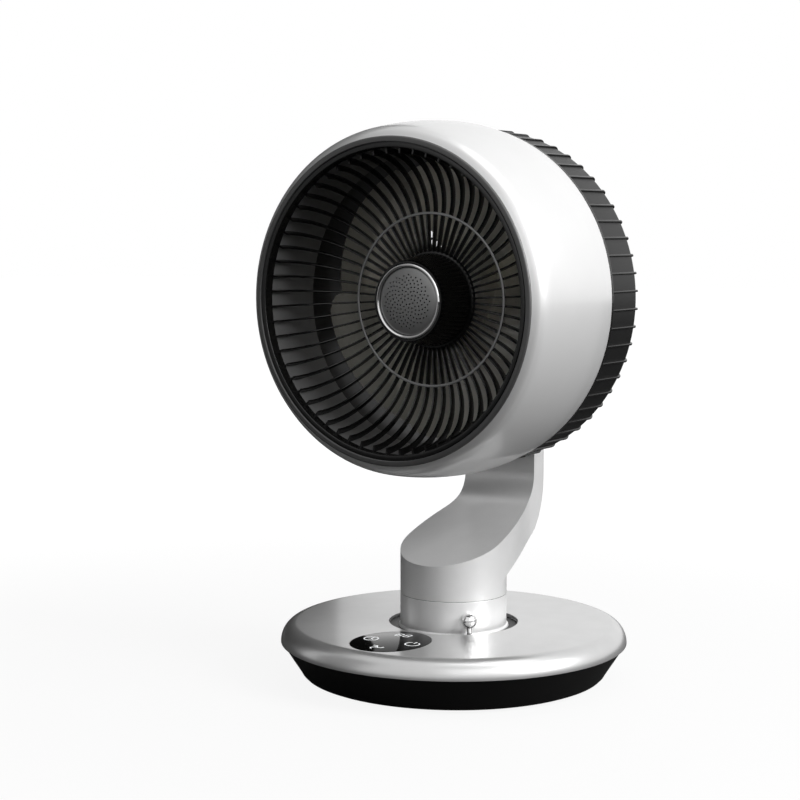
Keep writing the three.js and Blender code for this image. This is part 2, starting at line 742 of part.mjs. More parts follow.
// ---------------------------------------------------------------- front grille
// One rib lies in a plane through the axis: flat from the hub plate to the middle ring, then a
// quarter of an ellipse that opens like a bell to the rim.
function bellPoint(turn, depth) {
  const reach = throatRadius + 0.6 - midRingRadius;
  const rise = bowlDepth - lipDepth + 3.5;
  return [
    midRingRadius + (reach - depth) * Math.sin(turn),
    bowlY + hubPlateThickness - 0.4 - rise + (rise - depth) * Math.cos(turn),
  ];
}

// A three-sided bar bent along a path: at each step, edge(t) gives its sharp front or outer edge
// and back(t) the middle of its flat side, both as [radius, y] in the rib's own plane.
function bentRib(steps, edge, back, thickness) {
  const rib = new THREE.CylinderGeometry(1, 1, 1, 3, steps);
  const place = rib.attributes.position;
  for (let i = 0; i < place.count; i++) {
    const t = place.getY(i) + 0.5;
    const share = (place.getZ(i) + 0.5) / 1.5;
    const onAxis = Math.hypot(place.getX(i), place.getZ(i)) < 0.5;
    const [r, y] = (onAxis ? 0.5 : share) > 0.75 ? edge(t) : back(t);
    const lean = onAxis ? 0 : Math.sign(Math.round(place.getX(i) * 10)) * thickness / 2;
    place.setXYZ(i, r, y, lean);
  }
  return rib;
}

function frontRib() {
  const steps = 4;
  const at = (depth, start) => (t) => (t < 0.5 / steps ? [hubPlateRadius - 2, start]
    : bellPoint(Math.PI / 2 * (t * steps - 1) / (steps - 1), depth));
  return bentRib(steps, at(frontRibDepth, bowlY + 0.3), at(0, hubPlateRearY - 0.4), frontRibThickness);
}

function ribsAround(geometry) {
  return Array.from({ length: ribCount }, (_, k) => {
    const turn = 2 * Math.PI * (k + 0.5) / ribCount;
    return solid(geometry.clone().rotateY(turn));
  });
}

function makeFrontGrille() {
  const flangeRadius = mouthRadius - shellWall - facetSlack - gap;
  const rim = solid(turnedY([
    [throatRadius, mouthY + 0.4], [rimRadius, mouthY + 0.4], [rimRadius, mouthY + bezelThickness + gap],
    [flangeRadius, mouthY + bezelThickness + gap], [flangeRadius, rimRearY - 3],
    [ductRadius + ductWall, rimRearY], [throatRadius, rimRearY],
  ], ringFacets));
  const plate = solid(ringY(screwHeadRadius * 2, hubPlateRadius, bowlY, hubPlateRearY, ringFacets));
  return join(rim, plate, ...ribsAround(frontRib()));
}

part(head, 'front_grille', makeFrontGrille(), black);
const ribFrontY = bellPoint(0, frontRibDepth)[1];
part(head, 'grille_trim_ring', ringY(midRingRadius - midRingWidth / 2, midRingRadius + midRingWidth / 2,
  ribFrontY - gap - trimRingThickness, ribFrontY - gap, ringFacets), gunmetal);

// ---------------------------------------------------------------- hub: barrel, chrome ring, domed cap
function makeHubBody() {
  const points = Array.from({ length: 2 * hubFlutes }, (_, k) => {
    const radius = hubBaseRadius - (k % 2) * fluteDepth;
    return new THREE.Vector2(...polar(radius, 180 * k / hubFlutes));
  });
  const barrel = prismZ(new THREE.Shape(points), 0, hubLength).rotateX(Math.PI / 2)
    .translate(0, bowlY - gap, 0);
  const place = barrel.attributes.position;
  for (let i = 0; i < place.count; i++) {
    const shrink = lerp(1, hubFrontRadius / hubBaseRadius, (bowlY - gap - place.getY(i)) / hubLength);
    place.setX(i, place.getX(i) * shrink);
    place.setZ(i, place.getZ(i) * shrink);
  }
  const front = bowlY - gap - hubLength;
  const bore = solid(discY(hubRingRadius - hubRingWidth - hubWall, front + 6, bowlY + 1, 20));
  const seat = solid(discY(hubRingRadius + gap, front - 1, front + 3, 24));
  return cut(solid(barrel), bore, seat);
}

const hubFrontY = bowlY - gap - hubLength;
part(head, 'hub_barrel', makeHubBody(), black);
part(head, 'hub_ring', turnedY([
  [hubRingRadius - hubRingWidth, hubFrontY + 3 - gap],
  [hubRingRadius - hubRingWidth + 0.7, hubFrontY - 0.6], [hubRingRadius - 0.7, hubFrontY - 0.6],
  [hubRingRadius, hubFrontY + 3 - gap],
], 24), chrome);

function makeHubCap() {
  const edge = hubRingRadius - hubRingWidth - gap;
  const dome = Array.from({ length: 4 }, (_, k) => [edge * Math.cos(Math.PI / 2 * k / 3),
    hubFrontY + 1.4 - capDome * Math.sin(Math.PI / 2 * k / 3)]);
  return turnedY([...dome, [0, hubFrontY + 3 - gap], [edge, hubFrontY + 3 - gap]], 24);
}

part(head, 'hub_cap', makeHubCap(), gunmetal);

// ---------------------------------------------------------------- impeller, shaft, motor
const tipRadius = ductRadius - tipGap;

// a box bent into a twisted, cambered blade: x runs root to tip, z along the chord, y through it
function bladeGeometry() {
  const blade = new THREE.BoxGeometry(1, 1, 1, 3, 1, 4);
  const place = blade.attributes.position;
  const middleY = impellerFrontY + 4 + bladeDepth / 2;
  for (let i = 0; i < place.count; i++) {
    const span = place.getX(i) + 0.5;
    const chord = place.getZ(i);
    const through = place.getY(i);
    const radius = lerp(impellerHubRadius - 2, tipRadius, span);
    const width = rad(lerp(bladeRootAngle, bladeTipAngle, span));
    const round = span > 0.99 ? 0.86 : 1;
    const angle = chord * width * round + rad(10) * span;
    const camber = 3 * (1 - 4 * chord * chord);
    const depth = lerp(bladeDepth, bladeDepth * 0.82, span) * round;
    place.setXYZ(i, radius * Math.cos(angle), middleY + chord * depth - camber + through * bladeThickness,
      radius * Math.sin(angle));
  }
  return blade;
}

function makeImpeller() {
  const nose = 5;
  const hub = solid(turnedY([
    [shaftRadius + gap, impellerFrontY], [impellerHubRadius - nose, impellerFrontY],
    [impellerHubRadius, impellerFrontY + nose],
    [impellerHubRadius, impellerRearY], [impellerHubRadius - 2.4, impellerRearY],
    [impellerHubRadius - 2.4, impellerFrontY + 7], [10, impellerFrontY + 7], [10, impellerFrontY + 24],
    [shaftRadius + gap, impellerFrontY + 24],
  ], 20));
  const blades = Array.from({ length: bladeCount },
    (_, k) => solid(bladeGeometry().rotateY(2 * Math.PI * k / bladeCount)));
  return join(hub, ...blades);
}

part(head, 'impeller', makeImpeller(), smoke);
part(head, 'motor_shaft', discY(shaftRadius, impellerFrontY - 1, motorFrontY + shaftDepth), steel);
part(head, 'spinner_nut', cut(
  solid(turnedY([
    [0, hubPlateRearY + gap], [6, hubPlateRearY + gap], [9, impellerFrontY - gap], [0, impellerFrontY - gap],
  ], 12)),
  solid(discY(shaftRadius + gap, impellerFrontY - 1 - gap, impellerFrontY + 1)),
), black);

const coverScrews = (visit) => around(4, 45, coverScrewCircle, visit);

function coverScrewHole(x, z, front, rear) {
  return solid(discY(screwRadius + gap, front, rear, 6).translate(x, 0, z));
}

part(head, 'fan_motor', cut(
  solid(turnedY([
    [0, motorFrontY], [motorRadius - 8, motorFrontY], [motorRadius, motorFrontY + 4],
    [motorRadius, motorRearY], [0, motorRearY],
  ], 20)),
  solid(discY(shaftRadius + runGap, motorFrontY - 1, motorFrontY + shaftDepth + runGap)),
  ...coverScrews((x, z) => coverScrewHole(x, z, coverRearY - coverScrewLength, motorRearY + 1)),
), steel);

// ---------------------------------------------------------------- rear grille
// A rib runs back along the drum, turns the corner and swirls in to the middle plate.
function rearRib() {
  const steps = 4;
  const inner = rearPlateRadius - 2;
  const along = (depth) => {
    const radius = cageRadius - depth;
    const rear = cageRearY - depth;
    const turn = new THREE.QuadraticBezierCurve(new THREE.Vector2(radius, rear - rearCorner + depth / 2),
      new THREE.Vector2(radius, rear), new THREE.Vector2(radius - rearCorner + depth / 2, rear));
    const level = depth ? rearPlateY + 0.4 : rearPlateBackY - 0.4;
    const path = [[radius, cageFrontY + 1.5], ...turn.getPoints(2).map((p) => [p.x, p.y]), [inner, level]];
    return (t) => path[Math.round(t * steps)];
  };
  const rib = bentRib(steps, along(0), along(rearRibDepth), rearRibThickness);
  const place = rib.attributes.position;
  const start = cageRadius - rearCorner;
  for (let i = 0; i < place.count; i++) {
    const [x, z] = [place.getX(i), place.getZ(i)];
    const turn = rad(rearSwirl) * Math.max(0, (start - x) / (start - inner));
    place.setX(i, x * Math.cos(turn) - z * Math.sin(turn));
    place.setZ(i, x * Math.sin(turn) + z * Math.cos(turn));
  }
  return rib;
}

function makeRearGrille() {
  const collarOuter = shellRearRadius - shellWall - facetSlack - gap;
  const flangeFront = shellRearY - 4;
  const shroudHole = ductRadius + ductWall + 1;
  const drumFront = solid(turnedY([
    [shroudHole, flangeFront], [collarOuter, flangeFront], [collarOuter, cageFrontY],
    [shellRearRadius, cageFrontY], [shellRearRadius, cageFrontY + 2.7], [shroudHole, cageFrontY + 2.7],
  ], ringFacets));
  const plate = solid(ringY(14, rearPlateRadius, rearPlateY, rearPlateBackY, ringFacets));
  const screwHoles = coverScrews((x, z) => coverScrewHole(x, z, rearPlateY - 1, rearPlateBackY + 1));
  return cut(join(drumFront, plate, ...ribsAround(rearRib())), ...screwHoles);
}

part(head, 'rear_grille', makeRearGrille(), black);

// ---------------------------------------------------------------- motor cover with the tilt lug
function makeMotorCover() {
  const rimDrop = 1.4;
  const plate = solid(turnedY([
    [0, coverY], [coverRadius, coverY], [coverRadius, coverRearY - rimDrop],
    [coverRadius - rimDrop, coverRearY], [0, coverRearY],
  ], 30));
  const lugRadius = earRadius - gap;
  const lug = new THREE.Shape();
  lug.moveTo(coverRearY - 1, lugRadius);
  lug.lineTo(pivotY, lugRadius);
  lug.absarc(pivotY, 0, lugRadius, Math.PI / 2, -Math.PI / 2, true);
  lug.lineTo(coverRearY - 1, -lugRadius);
  const bore = solid(discX(pivotPinRadius + gap, -armWidth, armWidth).translate(0, pivotY, 0));
  const screwHoles = coverScrews((x, z) => coverScrewHole(x, z, coverY - 1, coverRearY + 1));
  return cut(join(plate, solid(barX(lug, -lugHalfWidth, lugHalfWidth, 8))), bore, ...screwHoles);
}

part(head, 'motor_cover', makeMotorCover(), satinBlack);

const headUnderY = coverRearY + gap;
coverScrews((x, z, k) => part(head, `motor_screw_${k + 1}`, turnedY([
  [0, headUnderY - coverScrewLength], [screwRadius, headUnderY - coverScrewLength],
  [screwRadius, headUnderY], [screwHeadRadius, headUnderY],
  [screwHeadRadius, headUnderY + 1.6], [0, headUnderY + 1.6],
], 6).translate(x, 0, z), steel));

export default circulator;
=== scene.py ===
"""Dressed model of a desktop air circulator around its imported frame.

Metres, +Z up, the fan blows along -Y. Outlines and helpers work in millimetres.
"""
import math

import bmesh
import bpy
from mathutils import Matrix, Vector


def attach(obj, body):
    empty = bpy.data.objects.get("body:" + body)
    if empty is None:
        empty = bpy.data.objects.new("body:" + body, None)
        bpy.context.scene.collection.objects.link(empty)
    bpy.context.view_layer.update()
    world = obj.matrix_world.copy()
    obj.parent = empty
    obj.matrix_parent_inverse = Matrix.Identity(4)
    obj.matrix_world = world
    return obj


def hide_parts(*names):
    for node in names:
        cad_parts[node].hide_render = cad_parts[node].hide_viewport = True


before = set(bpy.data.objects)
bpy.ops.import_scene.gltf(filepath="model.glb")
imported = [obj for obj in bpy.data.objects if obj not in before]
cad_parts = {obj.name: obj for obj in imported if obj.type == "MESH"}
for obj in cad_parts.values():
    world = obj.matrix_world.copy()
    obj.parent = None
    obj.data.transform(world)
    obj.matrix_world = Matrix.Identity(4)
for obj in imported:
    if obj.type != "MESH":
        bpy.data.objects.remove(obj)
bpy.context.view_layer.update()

MM = 0.001
AXIS_HEIGHT = 284.0       # height of the fan's axis, mm
FINE = 160                # segments of a full turn on large rings
MEDIUM = 64
WELD = 0.003              # points closer than this are one, mm
SHARP = math.radians(32)  # edges that turn more than this stay crisp


# ---------------------------------------------------------------- camera
camera_data = bpy.data.cameras.new("camera")
camera = bpy.data.objects.new("camera", camera_data)
camera.location = (0.7022, -1.1160, 0.3365)
camera.rotation_euler = (math.radians(84.44), 0, math.radians(33.93))
camera_data.sensor_width = 36
camera_data.lens = 79.86
bpy.context.collection.objects.link(camera)
bpy.context.scene.camera = camera
bpy.context.scene.view_settings.view_transform = "Standard"


# ---------------------------------------------------------------- materials
def set_inputs(shader, values):
    for name, value in values.items():
        shader.inputs[name].default_value = value


def material(name, color, roughness, spread=0.06, scale=420.0, rough_spread=0.06, bump=0.05,
             stretch=(1, 1, 1), **inputs):
    """A finish whose colour and gloss vary a little over the surface, with a fine grain in its relief."""
    made = bpy.data.materials.new(name)
    made.use_nodes = True
    nodes, links = made.node_tree.nodes, made.node_tree.links
    shader = nodes["Principled BSDF"]
    set_inputs(shader,
               {key.replace("_", " ").title().replace("Ior", "IOR"): value for key, value in inputs.items()})
    coords = nodes.new("ShaderNodeTexCoord")
    mapping = nodes.new("ShaderNodeMapping")
    mapping.inputs["Scale"].default_value = stretch
    links.new(coords.outputs["Object"], mapping.inputs["Vector"])
    broad = nodes.new("ShaderNodeTexNoise")
    set_inputs(broad, {"Scale": scale / 16, "Detail": 3.0})
    fine = nodes.new("ShaderNodeTexNoise")
    set_inputs(fine, {"Scale": scale * 4, "Detail": 2.0})
    for noise in (broad, fine):
        links.new(mapping.outputs["Vector"], noise.inputs["Vector"])
    ramp = nodes.new("ShaderNodeValToRGB")
    low, high = ramp.color_ramp.elements
    low.position, high.position = 0.3, 0.7
    low.color = [c * (1 - spread) for c in color] + [1]
    high.color = [min(1, c * (1 + spread)) for c in color] + [1]
    links.new(broad.outputs["Fac"], ramp.inputs["Fac"])
    links.new(ramp.outputs["Color"], shader.inputs["Base Color"])
    gloss = nodes.new("ShaderNodeMapRange")
    set_inputs(gloss, {"To Min": max(0.02, roughness - rough_spread), "To Max": roughness + rough_spread})
    links.new(fine.outputs["Fac"], gloss.inputs["Value"])
    links.new(gloss.outputs["Result"], shader.inputs["Roughness"])
    relief = nodes.new("ShaderNodeBump")
    set_inputs(relief, {"Strength": bump, "Distance": 0.00005})
    links.new(fine.outputs["Fac"], relief.inputs["Height"])
    links.new(relief.outputs["Normal"], shader.inputs["Normal"])
    return made


def grey(level):
    """Linear value of an 8-bit display grey."""
    c = level / 255
    value = c / 12.92 if c <= 0.04045 else ((c + 0.055) / 1.055) ** 2.4
    return (value, value, value)


PEARL = material("pearl lacquer", grey(220), 0.34, spread=0.012, bump=0.02, metallic=0.25, coat_weight=0.6,
                 coat_roughness=0.12)
SILVER = material("silver lacquer", grey(200), 0.32, spread=0.03, scale=900, bump=0.05, metallic=0.7,
                  coat_weight=0.5, coat_roughness=0.1)
# The same silver lacquer as the lid, made lighter and less metallic for the arm and neck: painted light that
# brightens their sides as the key lamp would.
SILVER_PAINTED_LIGHTER = material("silver lacquer painted lighter", grey(240), 0.36, spread=0.02, scale=900, bump=0.05, metallic=0.35,
                      coat_weight=0.4, coat_roughness=0.12)
BLACK = material("black gloss plastic", grey(14), 0.24, spread=0.1, bump=0.03)
SATIN_BLACK = material("black satin plastic", grey(17), 0.42, spread=0.1, bump=0.3, scale=700,
                       specular_ior_level=0.3)
GUNMETAL = material("dark grey lacquer", grey(96), 0.38, spread=0.05, metallic=0.5, bump=0.05)
TRIM_GREY = material("trim grey", grey(150), 0.35, spread=0.05, metallic=0.6)
CAP_GREY = material("cap grey", grey(140), 0.42, spread=0.05, metallic=0.6, scale=900, bump=0.1)
DUCT_GREY = material("duct grey", grey(120), 0.5, spread=0.05, bump=0.15)
CHROME = material("chrome", grey(225), 0.06, spread=0.01, rough_spread=0.03, bump=0.01, metallic=1.0)
STEEL = material("zinc plated steel", grey(170), 0.3, spread=0.08, metallic=1.0, bump=0.08)
IRON = material("cast iron", grey(84), 0.7, spread=0.25, metallic=0.6, bump=0.8, scale=500)
SMOKE = material("smoky blade plastic", (0.84, 0.82, 0.74), 0.16, spread=0.06, bump=0.02,
                 transmission_weight=0.12, ior=1.46)
RUBBER = material("foot rubber", grey(36), 0.85, spread=0.15, bump=0.6)
GLASS = material("black touch glass", grey(7), 0.07, spread=0.1, rough_spread=0.02, bump=0.0,
                 specular_ior_level=0.08)
BOARD = material("circuit board", (0.015, 0.10, 0.045), 0.5, spread=0.25, scale=1500, bump=0.3)
NYLON = material("natural nylon", (0.72, 0.70, 0.62), 0.45, spread=0.05, bump=0.15)


def lit(name, color, strength):
    """A printed mark that glows a little, as backlit marks on a touch panel do."""
    made = material(name, color, 0.4, spread=0.02, bump=0.0)
    set_inputs(made.node_tree.nodes["Principled BSDF"],
               {"Emission Color": (*color, 1), "Emission Strength": strength})
    return made


MARK = lit("white mark", (0.85, 0.87, 0.88), 0.35)


# ---------------------------------------------------------------- mesh helpers
def crisp(mesh, angle=SHARP):
    """Smooth shading everywhere but across edges that turn more than angle."""
    bm = bmesh.new()
    bm.from_mesh(mesh)
    bmesh.ops.recalc_face_normals(bm, faces=bm.faces)
    for face in bm.faces:
        face.smooth = True
    for edge in bm.edges:
        edge.smooth = not (len(edge.link_faces) == 2 and edge.calc_face_angle() > angle)
    bm.to_mesh(mesh)
    bm.free()


def piece(name, verts, faces, finish, body, *nodes, slot=None, angle=SHARP):
    """A mesh in millimetres made into a piece that rides on a body and stands for nodes."""
    mesh = bpy.data.meshes.new(name)
    mesh.from_pydata([(x * MM, y * MM, z * MM) for x, y, z in verts], [], faces)
    mesh.validate()
    crisp(mesh, angle)
    return dress(name, mesh, finish, body, *nodes, slot=slot)


def dress(name, mesh, finish, body, *nodes, slot=None):
    mesh.materials.clear()
    mesh.materials.append(finish)
    made = bpy.data.objects.new(name, mesh)
    bpy.context.collection.objects.link(made)
    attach(made, body)
    if nodes:
        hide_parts(*nodes)
    return made


def rounded(outline, steps=4):
    """Replaces each corner (r, h, radius) by a small curve; a corner without a radius stays."""
    result = []
    count = len(outline)
    for i, corner in enumerate(outline):
        if len(corner) < 3:
            result.append(corner[:2])
            continue
        here = Vector(corner[:2])
        before = Vector(outline[i - 1][:2]) - here
        after = Vector(outline[(i + 1) % count][:2]) - here
        start = here + before.normalized() * min(corner[2], before.length * 0.49)
        end = here + after.normalized() * min(corner[2], after.length * 0.49)
        for k in range(steps + 1):
            t = k / steps
            point = start * (1 - t) ** 2 + here * 2 * t * (1 - t) + end * t ** 2
            result.append((point.x, point.y))
    return result


def turned_mesh(outline, axis, segments, centre=(0, 0)):
    """Vertices and faces of a closed outline of (radius, height) turned round the Z or the fan's axis."""
    verts, rings, faces = [], [], []
    for r, h in outline:
        if r < 1e-6:
            turns = [0.0]
        else:
            turns = [2 * math.pi * k / segments for k in range(segments)]
        ring = []
        for turn in turns:
            a, b = r * math.cos(turn), r * math.sin(turn)
            ring.append(len(verts))
            if axis == "Z":
                verts.append((centre[0] + a, centre[1] + b, h))
            elif axis == "Y":
                verts.append((centre[0] + a, h, AXIS_HEIGHT + centre[1] + b))
            else:
                verts.append((h, centre[0] + a, centre[1] + b))
        rings.append(ring)
    for i, ring in enumerate(rings):
        other = rings[(i + 1) % len(rings)]
        if len(ring) == 1 and len(other) == 1:
            continue
        for k in range(segments):
            j = (k + 1) % segments
            if len(ring) == 1:
                faces.append((ring[0], other[k], other[j]))
            elif len(other) == 1:
                faces.append((ring[k], other[0], ring[j]))
            else:
                faces.append((ring[k], other[k], other[j], ring[j]))
    return verts, faces


def turned(name, outline, axis, finish, body, *nodes, segments=FINE, centre=(0, 0), slot=None, angle=SHARP):
    verts, faces = turned_mesh(rounded(outline), axis, segments, centre)
    return piece(name, verts, faces, finish, body, *nodes, slot=slot, angle=angle)


def merged(parts):
    """Several (verts, faces) pairs as one."""
    verts, faces = [], []
    for part_verts, part_faces in parts:
        start = len(verts)
        verts += part_verts
        faces += [tuple(i + start for i in face) for face in part_faces]
    return verts, faces


def scratch(name, verts, faces):
    """A mesh object that only serves a boolean and is taken away again."""
    mesh = bpy.data.meshes.new(name)
    mesh.from_pydata([(x * MM, y * MM, z * MM) for x, y, z in verts], [], faces)
    bm = bmesh.new()
    bm.from_mesh(mesh)
    bmesh.ops.recalc_face_normals(bm, faces=bm.faces)
    bm.to_mesh(mesh)
    bm.free()
    made = bpy.data.objects.new(name, mesh)
    bpy.context.collection.objects.link(made)
    return made


def settled(obj):
    """The object's mesh with its modifiers applied."""
    depsgraph = bpy.context.evaluated_depsgraph_get()
    mesh = bpy.data.meshes.new_from_object(obj.evaluated_get(depsgraph))
    obj.modifiers.clear()
    obj.data = mesh
    return mesh


def weld(mesh):
    """Joins the doubled points that a boolean or a bevel leaves."""
    bm = bmesh.new()
    bm.from_mesh(mesh)
    bmesh.ops.remove_doubles(bm, verts=bm.verts, dist=WELD * MM)
    bm.to_mesh(mesh)
    bm.free()


def combine(target, tool, operation):
    modifier = target.modifiers.new("combine", "BOOLEAN")
    modifier.operation = operation
    modifier.solver = "EXACT"
    modifier.object = tool
    settled(target)
    bpy.data.objects.remove(tool)


def remake(obj, name, finish, body, *nodes, slot=None, angle=SHARP, bevel=0.0, bevel_angle=30, segments=3):
    """Turns a scratch object into a dressed piece. Its edges are rounded by bevel millimetres at
    most, and by less where short edges leave no room."""
    if bevel:
        modifier = obj.modifiers.new("round", "BEVEL")
        modifier.width = bevel * MM
        modifier.segments = segments
        modifier.limit_method = "ANGLE"
        modifier.angle_limit = math.radians(bevel_angle)
        modifier.use_clamp_overlap = True
        settled(obj)
    weld(obj.data)
    crisp(obj.data, angle)
    modifier = obj.modifiers.new("even", "WEIGHTED_NORMAL")
    modifier.keep_sharp = True
    mesh = settled(obj)
    mesh.name = name
    bpy.data.objects.remove(obj)
    return dress(name, mesh, finish, body, *nodes, slot=slot)


def prism(outline, low, high, across):
    """A closed outline made into a bar along the axis named across: X (outline in Y, Z) or Z (in X, Y)."""
    count = len(outline)
    verts = []
    for level in (low, high):
        for a, b in outline:
            verts.append((level, a, b) if across == "X" else (a, b, level))
    faces = [tuple(range(count)), tuple(range(2 * count - 1, count - 1, -1))]
    faces += [(i, (i + 1) % count, count + (i + 1) % count, count + i) for i in range(count)]
    return verts, faces


def bezier(points, steps):
    """Points of a quadratic or cubic curve, without its first one."""
    degree = len(points) - 1
    result = []
    for k in range(1, steps + 1):
        t = k / steps
        x = y = 0.0
        for i, (px, py) in enumerate(points):
            weight = math.comb(degree, i) * (1 - t) ** (degree - i) * t ** i
            x += weight * px
            y += weight * py
        result.append((x, y))
    return result


def arc(cx, cy, radius, start, end, steps):
    """Points of an arc from start to end degrees."""
    return [(cx + radius * math.cos(math.radians(start + (end - start) * k / steps)),
             cy + radius * math.sin(math.radians(start + (end - start) * k / steps)))
             for k in range(steps + 1)]


# ---------------------------------------------------------------- base: pan, lid, panel, feet
PAN_FLOOR, LID_TOP, LID_EDGE = 5.0, 41.2, 27.5
MOAT_RADIUS, MOAT_FLOOR = 48.6, 38.3
PANEL_Y = -84.0
FOOT_CIRCLE = 94
FEET = [(FOOT_CIRCLE * math.cos(math.radians(90 + 72 * k)),
         FOOT_CIRCLE * math.sin(math.radians(90 + 72 * k)))
        for k in range(5)]

pan_shape = turned_mesh(rounded([
    (0, 1.5), (106, 1.5), (109.2, 1.7), (112.4, 3.0), (114.4, 5.0), (115.4, 6.8), (118.2, 11.2),
    (122.0, 17.0),
    (128.5, 27.2, 0.5), (126.0, 27.2, 0.4), (112.6, 7.5, 3), (106.3, PAN_FLOOR, 2), (0, PAN_FLOOR),
]), "Z", FINE)
pan = scratch("pan", *pan_shape)
for x, y in FEET:
    combine(pan, scratch("pocket", *turned_mesh([(0, 0), (8.4, 0), (8.4, 3.5), (0, 3.5)], "Z", 40, (x, y))),
            "DIFFERENCE")
inlet_hole = turned_mesh([(0, 97), (5.3, 97), (5.3, 130), (0, 130)], "Y", 40, (0, 13.5 - AXIS_HEIGHT))
combine(pan, scratch("inlet_hole", *inlet_hole), "DIFFERENCE")
remake(pan, "pan", SATIN_BLACK, "base", "base_pan", slot="satin_black", bevel=0.25)

shoulder = arc(118, LID_EDGE, 12, 0, 90, 24)
lid_outline = [(x, LID_EDGE + (y - LID_EDGE) * 13.7 / 12) for x, y in shoulder]
lid_shape = turned_mesh([(129.4, LID_EDGE)] + lid_outline + rounded(
    [(MOAT_RADIUS, LID_TOP, 0.5), (MOAT_RADIUS, 38.8, 0.3), (118, 38.8), (127.4, LID_EDGE)]), "Z", FINE)
lid = scratch("lid", *lid_shape)
recess = [(27.7 * math.cos(t), PANEL_Y + 33.5 * math.sin(t))
          for t in [2 * math.pi * k / 96 for k in range(96)]]
combine(lid, scratch("recess", *prism(recess, 39.5, 43, "Z")), "DIFFERENCE")
remake(lid, "lid", SILVER, "base", "base_lid", slot="silver", bevel=0.3, bevel_angle=40)


def ellipse_plate(half_x, half_y, centre_y, low, high, edge, count=96):
    """A flat oval plate with its upper edge rounded."""
    verts, faces = [], []
    levels = [(0, low), (0, high - edge)] + [
        (edge * (1 - math.cos(math.radians(a))), high - edge + edge * math.sin(math.radians(a)))
        for a in (30, 60, 90)]
    for inset, z in levels:
        verts += [((half_x - inset) * math.cos(2 * math.pi * k / count),
                   centre_y + (half_y - inset) * math.sin(2 * math.pi * k / count), z) for k in range(count)]
    for i in range(len(levels) - 1):
        for k in range(count):
            j = (k + 1) % count
            faces.append((i * count + k, i * count + j, (i + 1) * count + j, (i + 1) * count + k))
    faces.append(tuple(reversed(range(count))))
    faces.append(tuple(range((len(levels) - 1) * count, len(levels) * count)))
    return verts, faces


piece("touch_panel", *ellipse_plate(27.4, 33.2, PANEL_Y, 39.8, 41.4, 0.35), GLASS, "base", "control_panel",
      slot="glass")

for k, (x, y) in enumerate(FEET):
    turned(f"rubber_foot_{k + 1}", [(0, 0), (8, 0, 0.9), (8, 3.2), (0, 3.2)], "Z", RUBBER, "base",
           f"foot_{k + 1}",
           segments=40, centre=(x, y), slot="rubber")


# ---------------------------------------------------------------- marks on the touch panel
def stroke(points, width, closed=False):
    """A flat ribbon along points in the panel's plane, as quads with mitred corners."""
    count = len(points)
    left, right = [], []
    for i, point in enumerate(points):
        here = Vector(point)
        before = Vector(points[i - 1]) if i or closed else here
        after = Vector(points[(i + 1) % count]) if i < count - 1 or closed else here
        side = (after - before).normalized().orthogonal() * width / 2
        left.append(here + side)
        right.append(here - side)
    rows = list(zip(left, right))
    verts = [tuple(p) for pair in rows for p in pair]
    pairs = range(count if closed else count - 1)
    return verts, [(2 * i, 2 * i + 1, (2 * i + 3) % (2 * count), (2 * i + 2) % (2 * count)) for i in pairs]


def mark(name, strokes, centre):
    """A printed mark made of strokes, laid 0.02 mm over the panel with its lower faces inside the glass."""
    verts, faces = [], []
    for stroke_verts, stroke_faces in strokes:
        start = len(verts)
        count = len(stroke_verts)
        for z in (41.36, 41.43):
            verts += [(centre[0] + x, PANEL_Y + centre[1] + y, z) for x, y in stroke_verts]
        faces += [tuple(i + start + count for i in face) for face in stroke_faces]
        faces += [tuple(i + start for i in reversed(face)) for face in stroke_faces]
        edges = {}
        for face in stroke_faces:
            for a, b in zip(face, face[1:] + face[:1]):
                edges[(a, b)] = edges.get((b, a)) is None
                if not edges[(a, b)]:
                    edges[(b, a)] = False
        faces += [(start + a, start + b, start + count + b, start + count + a)
                  for (a, b), rim in edges.items() if rim]
    return piece(name, verts, faces, MARK, "base", slot="glass", angle=math.radians(60))


def ring_points(radius, start, end, steps=24):
    return arc(0, 0, radius, start, end, steps)


def digit(offset):
    """A seven-segment eight, leaning a little."""
    lean = 0.12
    corners = [(-2.0, -3.3), (2.0, -3.3), (2.0, 3.3), (-2.0, 3.3)]
    bars = []
    gap = 0.25
    for (ax, ay), (bx, by) in zip(corners, corners[1:] + corners[:1]):
        dx, dy = bx - ax, by - ay
        length = math.hypot(dx, dy)
        ux, uy = dx / length * gap, dy / length * gap
        if abs(dy) > 0:
            middle = (ax, (ay + by) / 2)
            bars += [[(ax + ux, ay + uy), (middle[0], middle[1] - uy)],
                     [(middle[0], middle[1] + uy), (bx - ux, by - uy)]]
        else:
            bars.append([(ax + ux, ay), (bx - ux, by)])
    bars.append([(-2.0 + gap, 0), (2.0 - gap, 0)])
    return [stroke([(offset + x + lean * y, y) for x, y in bar], 0.85) for bar in bars]


mark("display_digits", digit(-3.4) + digit(3.4), (-2.6, 20.3))
mark("timer_mark", [stroke(ring_points(5.2, 0, 360)[:-1], 1.0, closed=True),
                    stroke([(0, 3.4), (0, 0), (2.4, -1.3)], 0.9)], (-16.6, -0.6))
mark("power_mark", [stroke(ring_points(5.2, 120, 420), 1.1), stroke([(0, 2.0), (0, 6.4)], 1.1)], (17.6, 1.3))
blades_mark = [stroke([(1.3 * math.cos(a), 1.3 * math.sin(a)),
                       (4.2 * math.cos(a + 0.35), 4.2 * math.sin(a + 0.35)),
                       (5.6 * math.cos(a + 0.95), 5.6 * math.sin(a + 0.95))], 1.2)
               for a in [math.pi / 2 + 2 * math.pi * k / 3 for k in range(3)]]
mark("speed_mark", blades_mark + [stroke(ring_points(1.0, 0, 360, 10)[:-1], 0.8, closed=True)], (1.0, -20.0))
